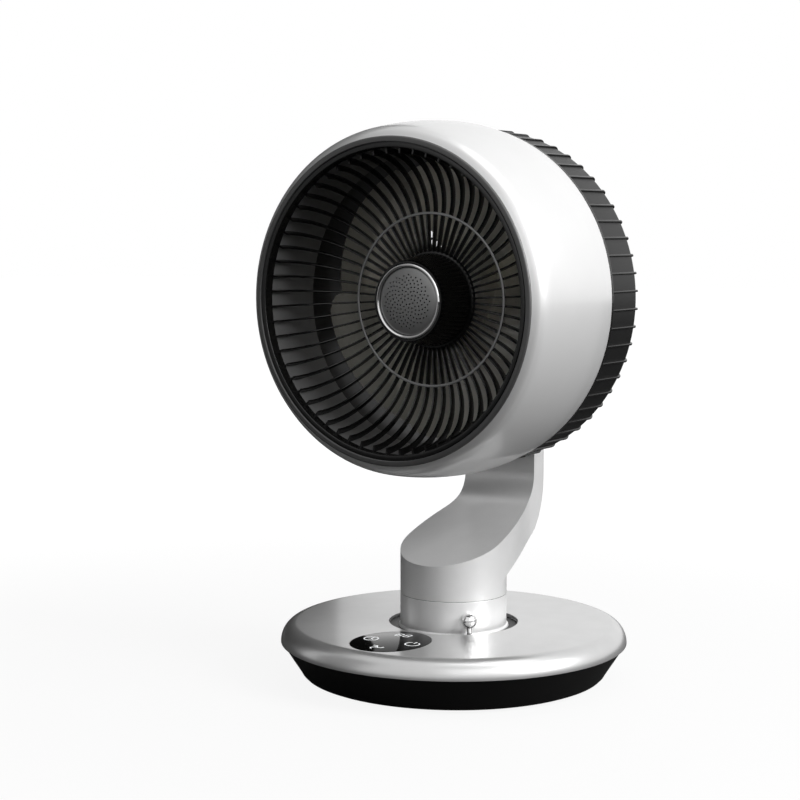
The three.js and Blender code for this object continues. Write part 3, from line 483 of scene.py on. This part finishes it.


# ---------------------------------------------------------------- neck, ball pin
# The neck wears the lightened silver lacquer: painted light.
turned("neck", [
    (37, 35.8), (56, 35.8, 0.4), (56, MOAT_FLOOR, 0.3), (41.6, MOAT_FLOOR), (41.5, 38.9), (41.1, 39.5),
    (40.4, 39.8), (40, 40.1),
    (40, 63, 0.35), (39.7, 63), (39.7, 61.2), (37, 61.2),
], "Z", SILVER_PAINTED_LIGHTER, "base", "neck_collar", slot="silver")

# A thin black ring on the moat floor round the neck: painted shade, a dark sheet laid where the gap between
# the neck and the lid's hole falls in shade.
turned("moat_shade_ring",
       [(41.7, MOAT_FLOOR - 0.2), (48.4, MOAT_FLOOR - 0.2), (48.4, MOAT_FLOOR + 0.2, 0.1),
        (41.7, MOAT_FLOOR + 0.2, 0.1)],
       "Z", SATIN_BLACK, "base", slot="satin_black")

PIN_X, PIN_Y = 45.5 * math.cos(math.radians(-43)), 45.5 * math.sin(math.radians(-43))
BALL_Z, BALL = 50.6, 5.6
ball = [(BALL * math.cos(math.radians(a)), BALL_Z + BALL * math.sin(math.radians(a)))
        for a in range(84, -68, -6)]
stem = [(2.0, 44.8), (1.75, 43.6), (1.75, 34.1, 0.2), (2.95, 34.1, 0.2), (2.95, 32.1, 0.2), (1.75, 32.1),
        (1.75, 27.1, 0.4), (0, 27.1)]
turned("ball_knob", [(0, BALL_Z + BALL)] + ball + stem, "Z", CHROME, "pin", "ball_pin", segments=64,
       centre=(PIN_X, PIN_Y), slot="chrome")
turned("pin_ferrule", [(2.05, 34.4), (2.75, 34.4), (2.75, 38.9, 0.3), (2.05, 38.9, 0.15)], "Z", STEEL,
       "base", "pin_bush",
       segments=40, centre=(PIN_X, PIN_Y), slot="steel")


# ---------------------------------------------------------------- arm
PIVOT_Y = 75.2
ARM_FRONT, ARM_REAR = 67.05, 83.35
ARM_LOW = 63.4
SLOPE_LOW, SLOPE = 89.0, 0.3635


def arm_side():
    """Side view (Y, Z): plane slope, upright blade with its round top, flared rear, hollow underside."""
    slope = (42.55, SLOPE_LOW + SLOPE * 82.55)
    points = [(0, ARM_LOW), (-45, ARM_LOW), (-45, SLOPE_LOW - SLOPE * 5), slope]
    points += bezier([slope, (ARM_FRONT - 5, slope[1] + 7.1), (ARM_FRONT, slope[1] + 16.7),
                      (ARM_FRONT, slope[1] + 29.7)], 24)
    points += arc(PIVOT_Y, AXIS_HEIGHT, 8.15, 180, 0, 24)
    points.append((ARM_REAR, 155))
    points += bezier([points[-1], (ARM_REAR, 135), (ARM_REAR - 5, 115), (ARM_REAR - 15, 104.5)], 20)
    points += bezier([points[-1], (ARM_REAR - 27, 92), (ARM_REAR - 50, 90), (6, 74.9)], 20)
    return points


def arm_plan():
    """Top view (X, Y): round front, drawn in to the blade's width behind it."""
    half, front, narrow = 31, 40, ARM_FRONT - 4
    right = bezier([(front, 0), (front, narrow * 0.5), (half, narrow * 0.8), (half, narrow)], 24)
    right.append((half, ARM_REAR - 3.5))
    right += bezier([right[-1], (half, ARM_REAR + 1), (half - 3.5, ARM_REAR + 1)], 5)
    return arc(0, 0, front, 180, 360, 72) + right + [(-x, y) for x, y in reversed(right)]


arm = scratch("arm", *prism(arm_side(), -45, 45, "X"))
combine(arm, scratch("plan", *prism(arm_plan(), ARM_LOW - 5, 300, "Z")), "INTERSECT")
heel = arc(0, 0, 39.97, 0.3, 179.7, 72) + [(-38, -4), (38, -4)]
combine(arm, scratch("heel", *prism(heel, ARM_LOW + 0.02, 99.3, "Z")), "UNION")
slot_box = [(-14.4, ARM_FRONT - 2), (14.4, ARM_FRONT - 2), (14.4, ARM_REAR + 2), (-14.4, ARM_REAR + 2)]
combine(arm, scratch("slot", *prism(slot_box, 274.65, 296, "Z")), "DIFFERENCE")
cover_hole = [(-27.3, 81), (27.3, 81), (27.3, 86), (-27.3, 86)]
combine(arm, scratch("rebate", *prism(cover_hole, 152.7, 262.3, "Z")), "DIFFERENCE")
combine(arm, scratch("socket", *turned_mesh([(0, 60), (36.9, 60), (36.9, 78.3), (0, 78.3)], "Z", 96)),
        "DIFFERENCE")
bore = turned_mesh([(0, -40), (4.3, -40), (4.3, 40), (0, 40)], "X", 32, (PIVOT_Y, AXIS_HEIGHT))
combine(arm, scratch("bore", *bore), "DIFFERENCE")
# The arm wears the lightened silver lacquer: painted light.
remake(arm, "arm", SILVER_PAINTED_LIGHTER, "column", "swing_arm", slot="silver", bevel=0.7, bevel_angle=48,
       angle=math.radians(28))


# ---------------------------------------------------------------- head: shell, bezel, duct, shroud
def spline(points, steps):
    """Points of a smooth curve through points."""
    result = []
    for i in range(len(points) - 1):
        p0 = Vector(points[max(i - 1, 0)])
        p1, p2 = Vector(points[i]), Vector(points[i + 1])
        p3 = Vector(points[min(i + 2, len(points) - 1)])
        for k in range(steps):
            t = k / steps
            p = 0.5 * (2 * p1 + (p2 - p0) * t + (2 * p0 - 5 * p1 + 4 * p2 - p3) * t * t
                       + (3 * p1 - p0 - 3 * p2 + p3) * t ** 3)
            result.append((p.x, p.y))
    return result + [tuple(points[-1])]


MOUTH_Y = -89.4
shell_skin = spline([(116.0, -87.6), (120.9, -83.6), (124.4, -74.6), (128.2, -47.66), (129.6, -19.1),
                     (128.3, -2.5),
                     (126.8, 7.5)], 10)
turned("shell", [(113.4, -87.6, 0.3)] + shell_skin[:-1] + [(126.8, 7.5, 0.5), (124.2, 7.5, 0.4)]
       + [(r - 2.6, y) for r, y in reversed(shell_skin[3:-3])], "Y", PEARL, "head", "head_shell",
       slot="pearl")
turned("bezel",
       [(111.9, -89.0), (112.3, MOUTH_Y), (115.2, MOUTH_Y, 0.5), (116.0, -88.6, 0.4), (116.0, -87.9),
        (111.9, -87.9)],
       "Y", GUNMETAL, "head", "bezel_ring", slot="gunmetal")
turned("duct", [(109.0, -80.1), (110.8, -80.1), (110.8, -29), (109.0, -29)], "Y", DUCT_GREY, "head",
       "duct_ring",
       slot="duct_grey")
turned("shroud",
       [(109.0, -28.7), (110.8, -28.7), (110.8, 36.4, 1.2), (109.9, 38.0, 0.5), (109.0, 37.2, 0.4)],
       "Y", SATIN_BLACK, "head", "shroud_ring", slot="satin_black")


def drum_corner(half_r, half_y):
    """The drum's rounded corner, from its side round to its back."""
    turns = [math.radians(9.5 * k) for k in range(10)]
    return [(117 + half_r * math.cos(a), 47.6 + half_y * math.sin(a)) for a in turns]


drum = [(123.6, 9.6), (124.7, 9.6)] + drum_corner(7.7, 7.0) + drum_corner(6.2, 5.5)[::-1] + [(123.2, 10.2)]
turned("drum", drum, "Y", SATIN_BLACK, "head", slot="satin_black")


# ---------------------------------------------------------------- grilles
RIBS = 60
BOWL_Y = -31.3


def bar(path, section, turn):
    """A rib in a plane through the fan's axis.

    path holds (front edge, back edge, swirl) at each step, with each edge as (radius, y). section holds
    (share of the way from front to back, lean across).
    """
    verts, faces = [], []
    count = len(section)
    for (front, back, swirl) in path:
        a = turn + swirl
        radial, across = (math.cos(a), math.sin(a)), (-math.sin(a), math.cos(a))
        for share, lean in section:
            r = front[0] + (back[0] - front[0]) * share
            y = front[1] + (back[1] - front[1]) * share
            verts.append((r * radial[0] + lean * across[0], y,
                          AXIS_HEIGHT + r * radial[1] + lean * across[1]))
    for i in range(len(path) - 1):
        for k in range(count):
            j = (k + 1) % count
            faces.append((i * count + k, i * count + j, (i + 1) * count + j, (i + 1) * count + k))
    faces.append(tuple(range(count)))
    faces.append(tuple(range(len(path) * count - 1, (len(path) - 1) * count - 1, -1)))
    return verts, faces


def blade_section(width_front, width_back):
    """Section of a rib: rounded front edge, flat sides, slightly rounded back."""
    w, b = width_front / 2, width_back / 2
    return [(0.0, -w * 0.45), (0.06, -w * 0.9), (0.16, -w), (0.94, -b), (1.0, -b * 0.6),
            (1.0, b * 0.6), (0.94, b), (0.16, w), (0.06, w * 0.9), (0.0, w * 0.45)]


def bell(turn, depth):
    """Point of the front rib's curve. A depth of 0 gives its back edge, the rib's depth its front edge."""
    reach, rise = 45.8, 52.6
    return (62.8 + (reach - depth) * math.sin(turn), BOWL_Y + 2.6 - rise + (rise - depth) * math.cos(turn))


def front_path():
    path = [((34.3, BOWL_Y + 0.4), (34.3, BOWL_Y + 2.5), 0), ((35.4, BOWL_Y - 0.9), (35.4, BOWL_Y + 2.6), 0)]
    for k in range(5):
        r = 37 + (62.8 - 37) * k / 5
        path.append(((r, BOWL_Y - 2.0), (r, BOWL_Y + 2.6), 0))
    for k in range(19):
        t = math.pi / 2 * k / 18
        path.append((bell(t, 4.6), bell(t, 0), 0))
    return path


rim_parts = [turned_mesh(rounded([
    (108.0, -88.9, 0.5), (111.3, -88.9, 0.3), (111.3, -87.6), (112.4, -87.6), (112.4, -83.5), (110.8, -80.4),
    (108.0, -80.4, 0.4),
]), "Y", FINE)]
plate_parts = [turned_mesh(rounded([(6.8, BOWL_Y + 0.1), (35.6, BOWL_Y + 0.1, 0.6), (36, BOWL_Y + 2.8, 0.4),
                                    (6.8, BOWL_Y + 2.8)]),
                           "Y", FINE)]
front_section = blade_section(1.25, 1.5)
ribs = [bar(front_path(), front_section, 2 * math.pi * (k + 0.5) / RIBS) for k in range(RIBS)]
piece("front_ribs", *merged(rim_parts + plate_parts + ribs), BLACK, "head", "front_grille", slot="black",
      angle=math.radians(50))
turned("grille_line", [(61.8, -33.8), (61.8, -34.7, 0.4), (63.8, -34.7, 0.4), (63.8, -33.8)], "Y", TRIM_GREY,
       "head",
       "grille_trim_ring", slot="gunmetal")


SIDE_DEPTH, BACK_DEPTH = 2.4, 5.0


def rear_path():
    """Along the drum, round the corner and straight in to the middle plate, leaning round as it goes."""
    front_y, rear_y, corner = 9.0, 57.1, 9.0
    side, back = 126.0 - SIDE_DEPTH, rear_y - BACK_DEPTH
    path = [((side, front_y), (126.0, front_y), 0)]
    for k in range(8):
        c, s = math.cos(math.pi / 2 * k / 7), math.sin(math.pi / 2 * k / 7)
        path.append(((side - 5.8 * (1 - c), back - 4.2 * (1 - s)),
                     (126.0 - corner * (1 - c), rear_y - corner * (1 - s)), 0))
    lean = math.radians(-34)
    for k in range(1, 11):
        share = k / 10
        x, z = 117.0 + (42 * math.cos(lean) - 117.0) * share, 42 * math.sin(lean) * share
        r, y = math.hypot(x, z), rear_y + 1.0 * share
        path.append(((r, y - BACK_DEPTH + 2.1 * share), (r, y), math.atan2(z, x)))
    return path


rear_section = [(1 - share, lean) for share, lean in blade_section(1.6, 2.0)]
rear_parts = [turned_mesh(rounded([
    (120.9, 3.5), (123.4, 3.5), (123.4, 7.8), (126.8, 7.8, 0.4), (126.8, 10.5, 0.5), (120.9, 10.5, 0.4),
]), "Y", FINE), turned_mesh(rounded([(14, 54.9), (44, 54.9, 0.4), (44, 58.2, 0.6), (14, 58.2)]), "Y", FINE)]
rear_parts += [bar(rear_path(), rear_section, 2 * math.pi * (k + 0.5) / RIBS) for k in range(RIBS)]
piece("rear_ribs", *merged(rear_parts), BLACK, "head", "rear_grille", slot="black", angle=math.radians(50))


# ---------------------------------------------------------------- hub
def fluted(flutes, depth, radius_rear, radius_front, rear_y, length):
    """A barrel with round-bottomed flutes, open at the front for the ring and cap."""
    verts, faces = [], []
    per = 6
    count = flutes * per
    levels = [(0.0, 0.3), (0.02, 0.0), (0.9, 0.0), (0.96, 0.15), (1.0, 0.7)]
    for share, inset in levels:
        radius = radius_rear + (radius_front - radius_rear) * share - inset
        y = rear_y - length * share
        for k in range(count):
            groove = math.sin(math.pi * (k % per) / per) ** 2 * depth * (1 if 0.01 < share < 0.93 else 0.15)
            a = 2 * math.pi * k / count
            verts.append(((radius - groove) * math.cos(a), y, AXIS_HEIGHT + (radius - groove) * math.sin(a)))
    inner = [(27.5, rear_y - length), (27.5, rear_y - length + 3), (22, rear_y - length + 3), (22, rear_y)]
    for r, y in inner:
        verts += [(r * math.cos(2 * math.pi * k / count), y,
                   AXIS_HEIGHT + r * math.sin(2 * math.pi * k / count)) for k in range(count)]
    rings = len(levels) + len(inner)
    for i in range(rings):
        j = (i + 1) % rings
        for k in range(count):
            n = (k + 1) % count
            faces.append((i * count + k, i * count + n, j * count + n, j * count + k))
    return verts, faces


HUB_FRONT = -62.6
piece("hub_barrel_fluted", *fluted(56, 0.7, 34, 29.2, BOWL_Y - 0.3, 31), BLACK, "head", "hub_barrel",
      slot="black")
turned("hub_bright_ring", [
    (24.6, HUB_FRONT + 2.6), (24.6, HUB_FRONT + 0.4), (25.0, HUB_FRONT - 0.5, 0.2),
    (26.4, HUB_FRONT - 0.6, 0.4), (27.1, HUB_FRONT + 0.1, 0.3), (27.2, HUB_FRONT + 2.7),
], "Y", CHROME, "head", "hub_ring", slot="chrome", segments=96)

dome = [(24.2 * math.cos(math.radians(a)), HUB_FRONT + 1.4 - 3.2 * math.sin(math.radians(a)))
        for a in range(0, 90, 6)]
cap = scratch("cap",
              *turned_mesh(dome + [(0, HUB_FRONT - 1.8), (0, HUB_FRONT + 2.7), (24.2, HUB_FRONT + 2.7)], "Y",
                           96))
pores = []
for k in range(1, 150):
    r = 19.6 * math.sqrt(k / 150)
    a = k * 2.399963
    pores.append(turned_mesh([(0, HUB_FRONT - 4), (0.62, HUB_FRONT - 4), (0.62, HUB_FRONT + 0.9),
                              (0, HUB_FRONT + 0.9)], "Y", 10,
                             (r * math.cos(a), r * math.sin(a))))
combine(cap, scratch("pores", *merged(pores)), "DIFFERENCE")
remake(cap, "hub_dome", CAP_GREY, "head", "hub_cap", slot="gunmetal")


# ---------------------------------------------------------------- impeller
BLADES = 5
IMPELLER_FRONT = -24.0


def blade(turn):
    """A twisted, cambered blade with rounded edges."""
    spans, chords = 18, 16
    verts, faces = [], []
    middle = IMPELLER_FRONT + 4 + 17
    for side in (-1, 1):
        for i in range(spans + 1):
            span = i / spans
            radius = 36 + (104.0 - 36) * span
            width = math.radians(87 + 5 * span)
            depth = 32 * (1 - 0.18 * span)
            trim = 1 - 0.14 * max(0, (span - 0.85) / 0.15) ** 2
            for k in range(chords + 1):
                chord = (k / chords - 0.5)
                angle = turn + chord * width * trim + math.radians(10) * span
                camber = 3 * (1 - 4 * chord * chord)
                thick = 1.1 * math.sqrt(max(0, 1 - (2 * chord) ** 4)) * (1 if span < 0.97 else 0.4)
                y = middle + chord * depth * trim - camber + side * thick
                verts.append((radius * math.cos(angle), y, AXIS_HEIGHT + radius * math.sin(angle)))
    row = chords + 1
    sheet = (spans + 1) * row
    for i in range(spans):
        for k in range(chords):
            a, b, c, d = i * row + k, i * row + k + 1, (i + 1) * row + k + 1, (i + 1) * row + k
            faces.append((a, b, c, d))
            faces.append((sheet + d, sheet + c, sheet + b, sheet + a))
    for k in range(chords):
        faces.append((k + 1, k, sheet + k, sheet + k + 1))
        end = spans * row
        faces.append((end + k, end + k + 1, sheet + end + k + 1, sheet + end + k))
    for i in range(spans):
        faces.append((i * row, (i + 1) * row, sheet + (i + 1) * row, sheet + i * row))
        a = i * row + chords
        faces.append((a + row, a, sheet + a, sheet + a + row))
    return verts, faces


impeller_hub = turned_mesh(rounded([
    (4.3, IMPELLER_FRONT), (33, IMPELLER_FRONT, 1.5), (38, IMPELLER_FRONT + 5, 2), (38, 22, 0.6),
    (35.6, 22, 0.4),
    (35.6, -17, 1), (10, -17, 1), (10, 0, 0.4), (4.3, 0),
]), "Y", MEDIUM)
wheel = merged([impeller_hub] + [blade(2 * math.pi * k / BLADES) for k in range(BLADES)])
piece("fan_wheel", *wheel, SMOKE, "impeller", "impeller", slot="smoke")
turned("spinner", [(0, -28.0, 0), (6, -28.0, 0.4), (9, -24.4, 0.4), (0, -24.4)], "Y", BLACK, "impeller",
       "spinner_nut",
       segments=40, slot="black")


# ---------------------------------------------------------------- motor, its cover and the tilt lug
turned("motor_can", [(4.4, 24, 0), (25, 24, 2), (33, 28, 2), (33, 55.1, 1), (4.4, 55.1)], "Y", STEEL, "head",
       "fan_motor",
       segments=MEDIUM, slot="steel")
cover = scratch("cover",
                *turned_mesh(rounded([(0, 59.0), (43, 59.0), (43, 61.4, 1.2), (41.6, 63.0, 1.0), (36, 63.0),
                                      (35.6, 62.4),
                                               (34.6, 62.4), (34.2, 63.0), (0, 63.0)]), "Y", 128))
lug = arc(PIVOT_Y, AXIS_HEIGHT, 7.85, -90, 90, 28)
lug = [(61.5, AXIS_HEIGHT - 7.85)] + lug + [(61.5, AXIS_HEIGHT + 7.85)]
combine(cover, scratch("lug", *prism(lug, -12.9, 12.9, "X")), "UNION")
combine(cover,
        scratch("lug_bore",
                *turned_mesh([(0, -40), (4.3, -40), (4.3, 40), (0, 40)], "X", 32, (PIVOT_Y, AXIS_HEIGHT))),
        "DIFFERENCE")
remake(cover, "motor_back", SATIN_BLACK, "head", "motor_cover", slot="satin_black", bevel=0.5,
       bevel_angle=50)


# ---------------------------------------------------------------- pivot caps, arm cover, screws, power inlet
for side, sign in (("left", -1), ("right", 1)):
    low, high = sorted((sign * 31.3, sign * 32.9))
    edge = high if sign > 0 else low
    inner = low if sign > 0 else high
    turned(f"cap_{side}",
           [(0, inner), (6.95, inner), (6.95, edge - sign * 0.3, 0.3), (6.3, edge, 0.3), (0, edge)], "X",
           CHROME,
           "column", f"pivot_cap_{side}", segments=48, centre=(PIVOT_Y, AXIS_HEIGHT), slot="chrome")

plate = scratch("arm_plate", *prism([(-27, 81.25), (27, 81.25), (27, 83.35), (-27, 83.35)], 153.3, 262, "Z"))
remake(plate, "arm_plate", SILVER, "column", "arm_cover", slot="silver", bevel=0.5, bevel_angle=50)


def screw(name, centre, under_y, head_radius, body, node):
    """A pan-head screw seen from behind, with a cross recess."""
    made = scratch(name, *turned_mesh(rounded([
        (0, under_y - 6), (1.4, under_y - 6), (1.4, under_y), (head_radius, under_y, 0.2),
        (head_radius, under_y + 0.7, 0.5),
        (head_radius * 0.6, under_y + 1.35, 0.4), (0, under_y + 1.4),
    ]), "Y", 32, (centre[0], centre[1])))
    x, z = centre[0], AXIS_HEIGHT + centre[1]
    for wide, tall in ((0.35, 1.7), (1.7, 0.35)):
        cross = [(x - wide, z - tall), (x + wide, z - tall), (x + wide, z + tall), (x - wide, z + tall)]
        verts, faces = prism(cross, under_y + 0.5, under_y + 3, "Z")
        combine(made, scratch("cross", [(a, c, b) for a, b, c in verts], faces), "DIFFERENCE")
    return remake(made, name, STEEL, body, node, slot="steel")


for k in range(4):
    a = math.radians(45 + 90 * k)
    screw(f"back_screw_{k + 1}", (28 * math.cos(a), 28 * math.sin(a)), 63.3, 3.2, "head",
          f"motor_screw_{k + 1}")
for k, z in enumerate((161.3, 254.0)):
    screw(f"plate_screw_{k + 1}", (0, z - AXIS_HEIGHT), 83.65, 2.9, "column", f"cover_screw_{k + 1}")

inlet = scratch("inlet",
                *turned_mesh(rounded([(0, 99), (5, 99), (5, 119.2, 0.4), (0, 119.2)]), "Y", 48,
                             (0, 13.5 - AXIS_HEIGHT)))
combine(inlet,
        scratch("inlet_bore",
                *turned_mesh([(0, 110), (3.3, 110), (3.3, 125), (0, 125)], "Y", 40,
                             (0, 13.5 - AXIS_HEIGHT))),
        "DIFFERENCE")
inlet_box = prism([(-7, 97), (7, 97), (7, 105), (-7, 105)], 5.3, 19.5, "Z")
combine(inlet, scratch("inlet_box", *inlet_box), "UNION")
remake(inlet, "inlet_socket", BLACK, "base", "power_inlet", slot="black", bevel=0.2)


# ---------------------------------------------------------------- CAD nodes that stay as they are
KEPT = {
    "ballast_ring": IRON, "control_board": BOARD, "power_board": BOARD, "slide_ring": SATIN_BLACK,
    "swing_motor": STEEL, "swing_switch": BLACK, "swing_pinion": NYLON, "swing_gear": NYLON,
    "swing_spindle": NYLON, "tilt_pin": STEEL, "friction_washer_left": NYLON,
    "friction_washer_right": NYLON, "motor_shaft": STEEL,
}
for name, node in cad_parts.items():
    finish = KEPT.get(name) or (STEEL if "screw" in name else None)
    if finish:
        node.data.materials.clear()
        node.data.materials.append(finish)


# ---------------------------------------------------------------- floor, world and lights
def plane(name, size, location, rotation=(0, 0, 0)):
    mesh = bpy.data.meshes.new(name)
    x, y = size[0] / 2, size[1] / 2
    mesh.from_pydata([(-x, -y, 0), (x, -y, 0), (x, y, 0), (-x, y, 0)], [], [(0, 1, 2, 3)])
    made = bpy.data.objects.new(name, mesh)
    made.location = location
    made.rotation_euler = rotation
    bpy.context.collection.objects.link(made)
    return made


def matt(name, shade):
    made = bpy.data.materials.new(name)
    made.use_nodes = True
    set_inputs(made.node_tree.nodes["Principled BSDF"], {"Base Color": (*shade, 1), "Roughness": 0.95,
                                                        "Specular IOR Level": 0.1})
    return made


def floor_material(shade, near, far):
    """Matt to the light it scatters. Where the camera sees it, a glow whitens all but its shadows."""
    made = matt("floor", shade)
    nodes, links = made.node_tree.nodes, made.node_tree.links
    shader = nodes["Principled BSDF"]
    shader.inputs["Emission Color"].default_value = (1, 1, 1, 1)
    coords = nodes.new("ShaderNodeTexCoord")
    distance = nodes.new("ShaderNodeVectorMath")
    distance.operation = "LENGTH"
    links.new(coords.outputs["Object"], distance.inputs[0])
    glow = nodes.new("ShaderNodeMapRange")
    glow.interpolation_type = "SMOOTHSTEP"
    set_inputs(glow, {"From Min": 0.2, "From Max": 1.1, "To Min": near, "To Max": far})
    links.new(distance.outputs["Value"], glow.inputs["Value"])
    path = nodes.new("ShaderNodeLightPath")
    seen = nodes.new("ShaderNodeMath")
    seen.operation = "MAXIMUM"
    links.new(path.outputs["Is Camera Ray"], seen.inputs[0])
    links.new(path.outputs["Is Transmission Ray"], seen.inputs[1])
    shown = nodes.new("ShaderNodeMath")
    shown.operation = "MULTIPLY"
    links.new(seen.outputs[0], shown.inputs[0])
    links.new(glow.outputs["Result"], shown.inputs[1])
    links.new(shown.outputs[0], shader.inputs["Emission Strength"])
    return made


floor = plane("floor", (16, 16), (0, 0, -0.0002))
floor.data.materials.append(floor_material((0.07, 0.07, 0.07), 0.9, 1.0))


def card(name, size, location, target, shade):
    """A matt board that the camera does not see, only the object's gloss."""
    made = plane(name, size, location)
    made.rotation_euler = (Vector(target) - Vector(location)).to_track_quat("Z", "Y").to_euler()
    made.data.materials.append(matt(name, (shade, shade, shade)))
    made.visible_camera = False
    made.visible_shadow = False
    made.visible_transmission = False
    return made


card("card_left", (1.5, 1.7), (-1.2, 0.4, 0.66), (0, 0, 0.25), 0.02)
card("card_behind", (1.0, 1.3), (-1.55, 1.15, 0.7), (-0.5, 0, 0.4), 0.02)
card("card_front_left", (0.9, 1.6), (-1.05, -0.95, 0.6), (0, 0, 0.25), 0.5)

world = bpy.data.worlds.new("world")
bpy.context.scene.world = world
world.use_nodes = True
nodes, links = world.node_tree.nodes, world.node_tree.links
nodes.clear()
out = nodes.new("ShaderNodeOutputWorld")
shown = nodes.new("ShaderNodeBackground")
set_inputs(shown, {"Color": (1, 1, 1, 1), "Strength": 1.0})
soft = nodes.new("ShaderNodeBackground")
set_inputs(soft, {"Color": (1, 1, 1, 1), "Strength": 0.16})
mix = nodes.new("ShaderNodeMixShader")
path = nodes.new("ShaderNodeLightPath")
first = nodes.new("ShaderNodeMath")
first.operation = "MAXIMUM"
second = nodes.new("ShaderNodeMath")
second.operation = "MAXIMUM"
links.new(path.outputs["Is Camera Ray"], first.inputs[0])
links.new(path.outputs["Is Transmission Ray"], first.inputs[1])
links.new(first.outputs[0], second.inputs[0])
links.new(path.outputs["Is Glossy Ray"], second.inputs[1])
links.new(second.outputs[0], mix.inputs[0])
links.new(soft.outputs[0], mix.inputs[1])
links.new(shown.outputs[0], mix.inputs[2])
links.new(mix.outputs[0], out.inputs["Surface"])


def lamp(name, size, location, target, power):
    data = bpy.data.lights.new(name, "AREA")
    data.shape = "RECTANGLE"
    data.size, data.size_y = size
    data.energy = power
    made = bpy.data.objects.new(name, data)
    made.location = location
    made.rotation_euler = (Vector(target) - Vector(location)).to_track_quat("-Z", "Y").to_euler()
    made.visible_camera = False
    bpy.context.collection.objects.link(made)
    return made


lamp("key", (1.1, 1.1), (1.9, 0.1, 1.15), (0, 0, 0.22), 46)
lamp("top", (1.0, 1.0), (0.5, 0.1, 1.9), (0, 0, 0.2), 6)
lamp("front", (1.3, 1.3), (1.45, -1.35, 1.3), (0, 0, 0.3), 5)
lamp("back", (1.2, 1.2), (-1.5, 1.5, 0.6), (0, 0, 0.3), 12).visible_glossy = False
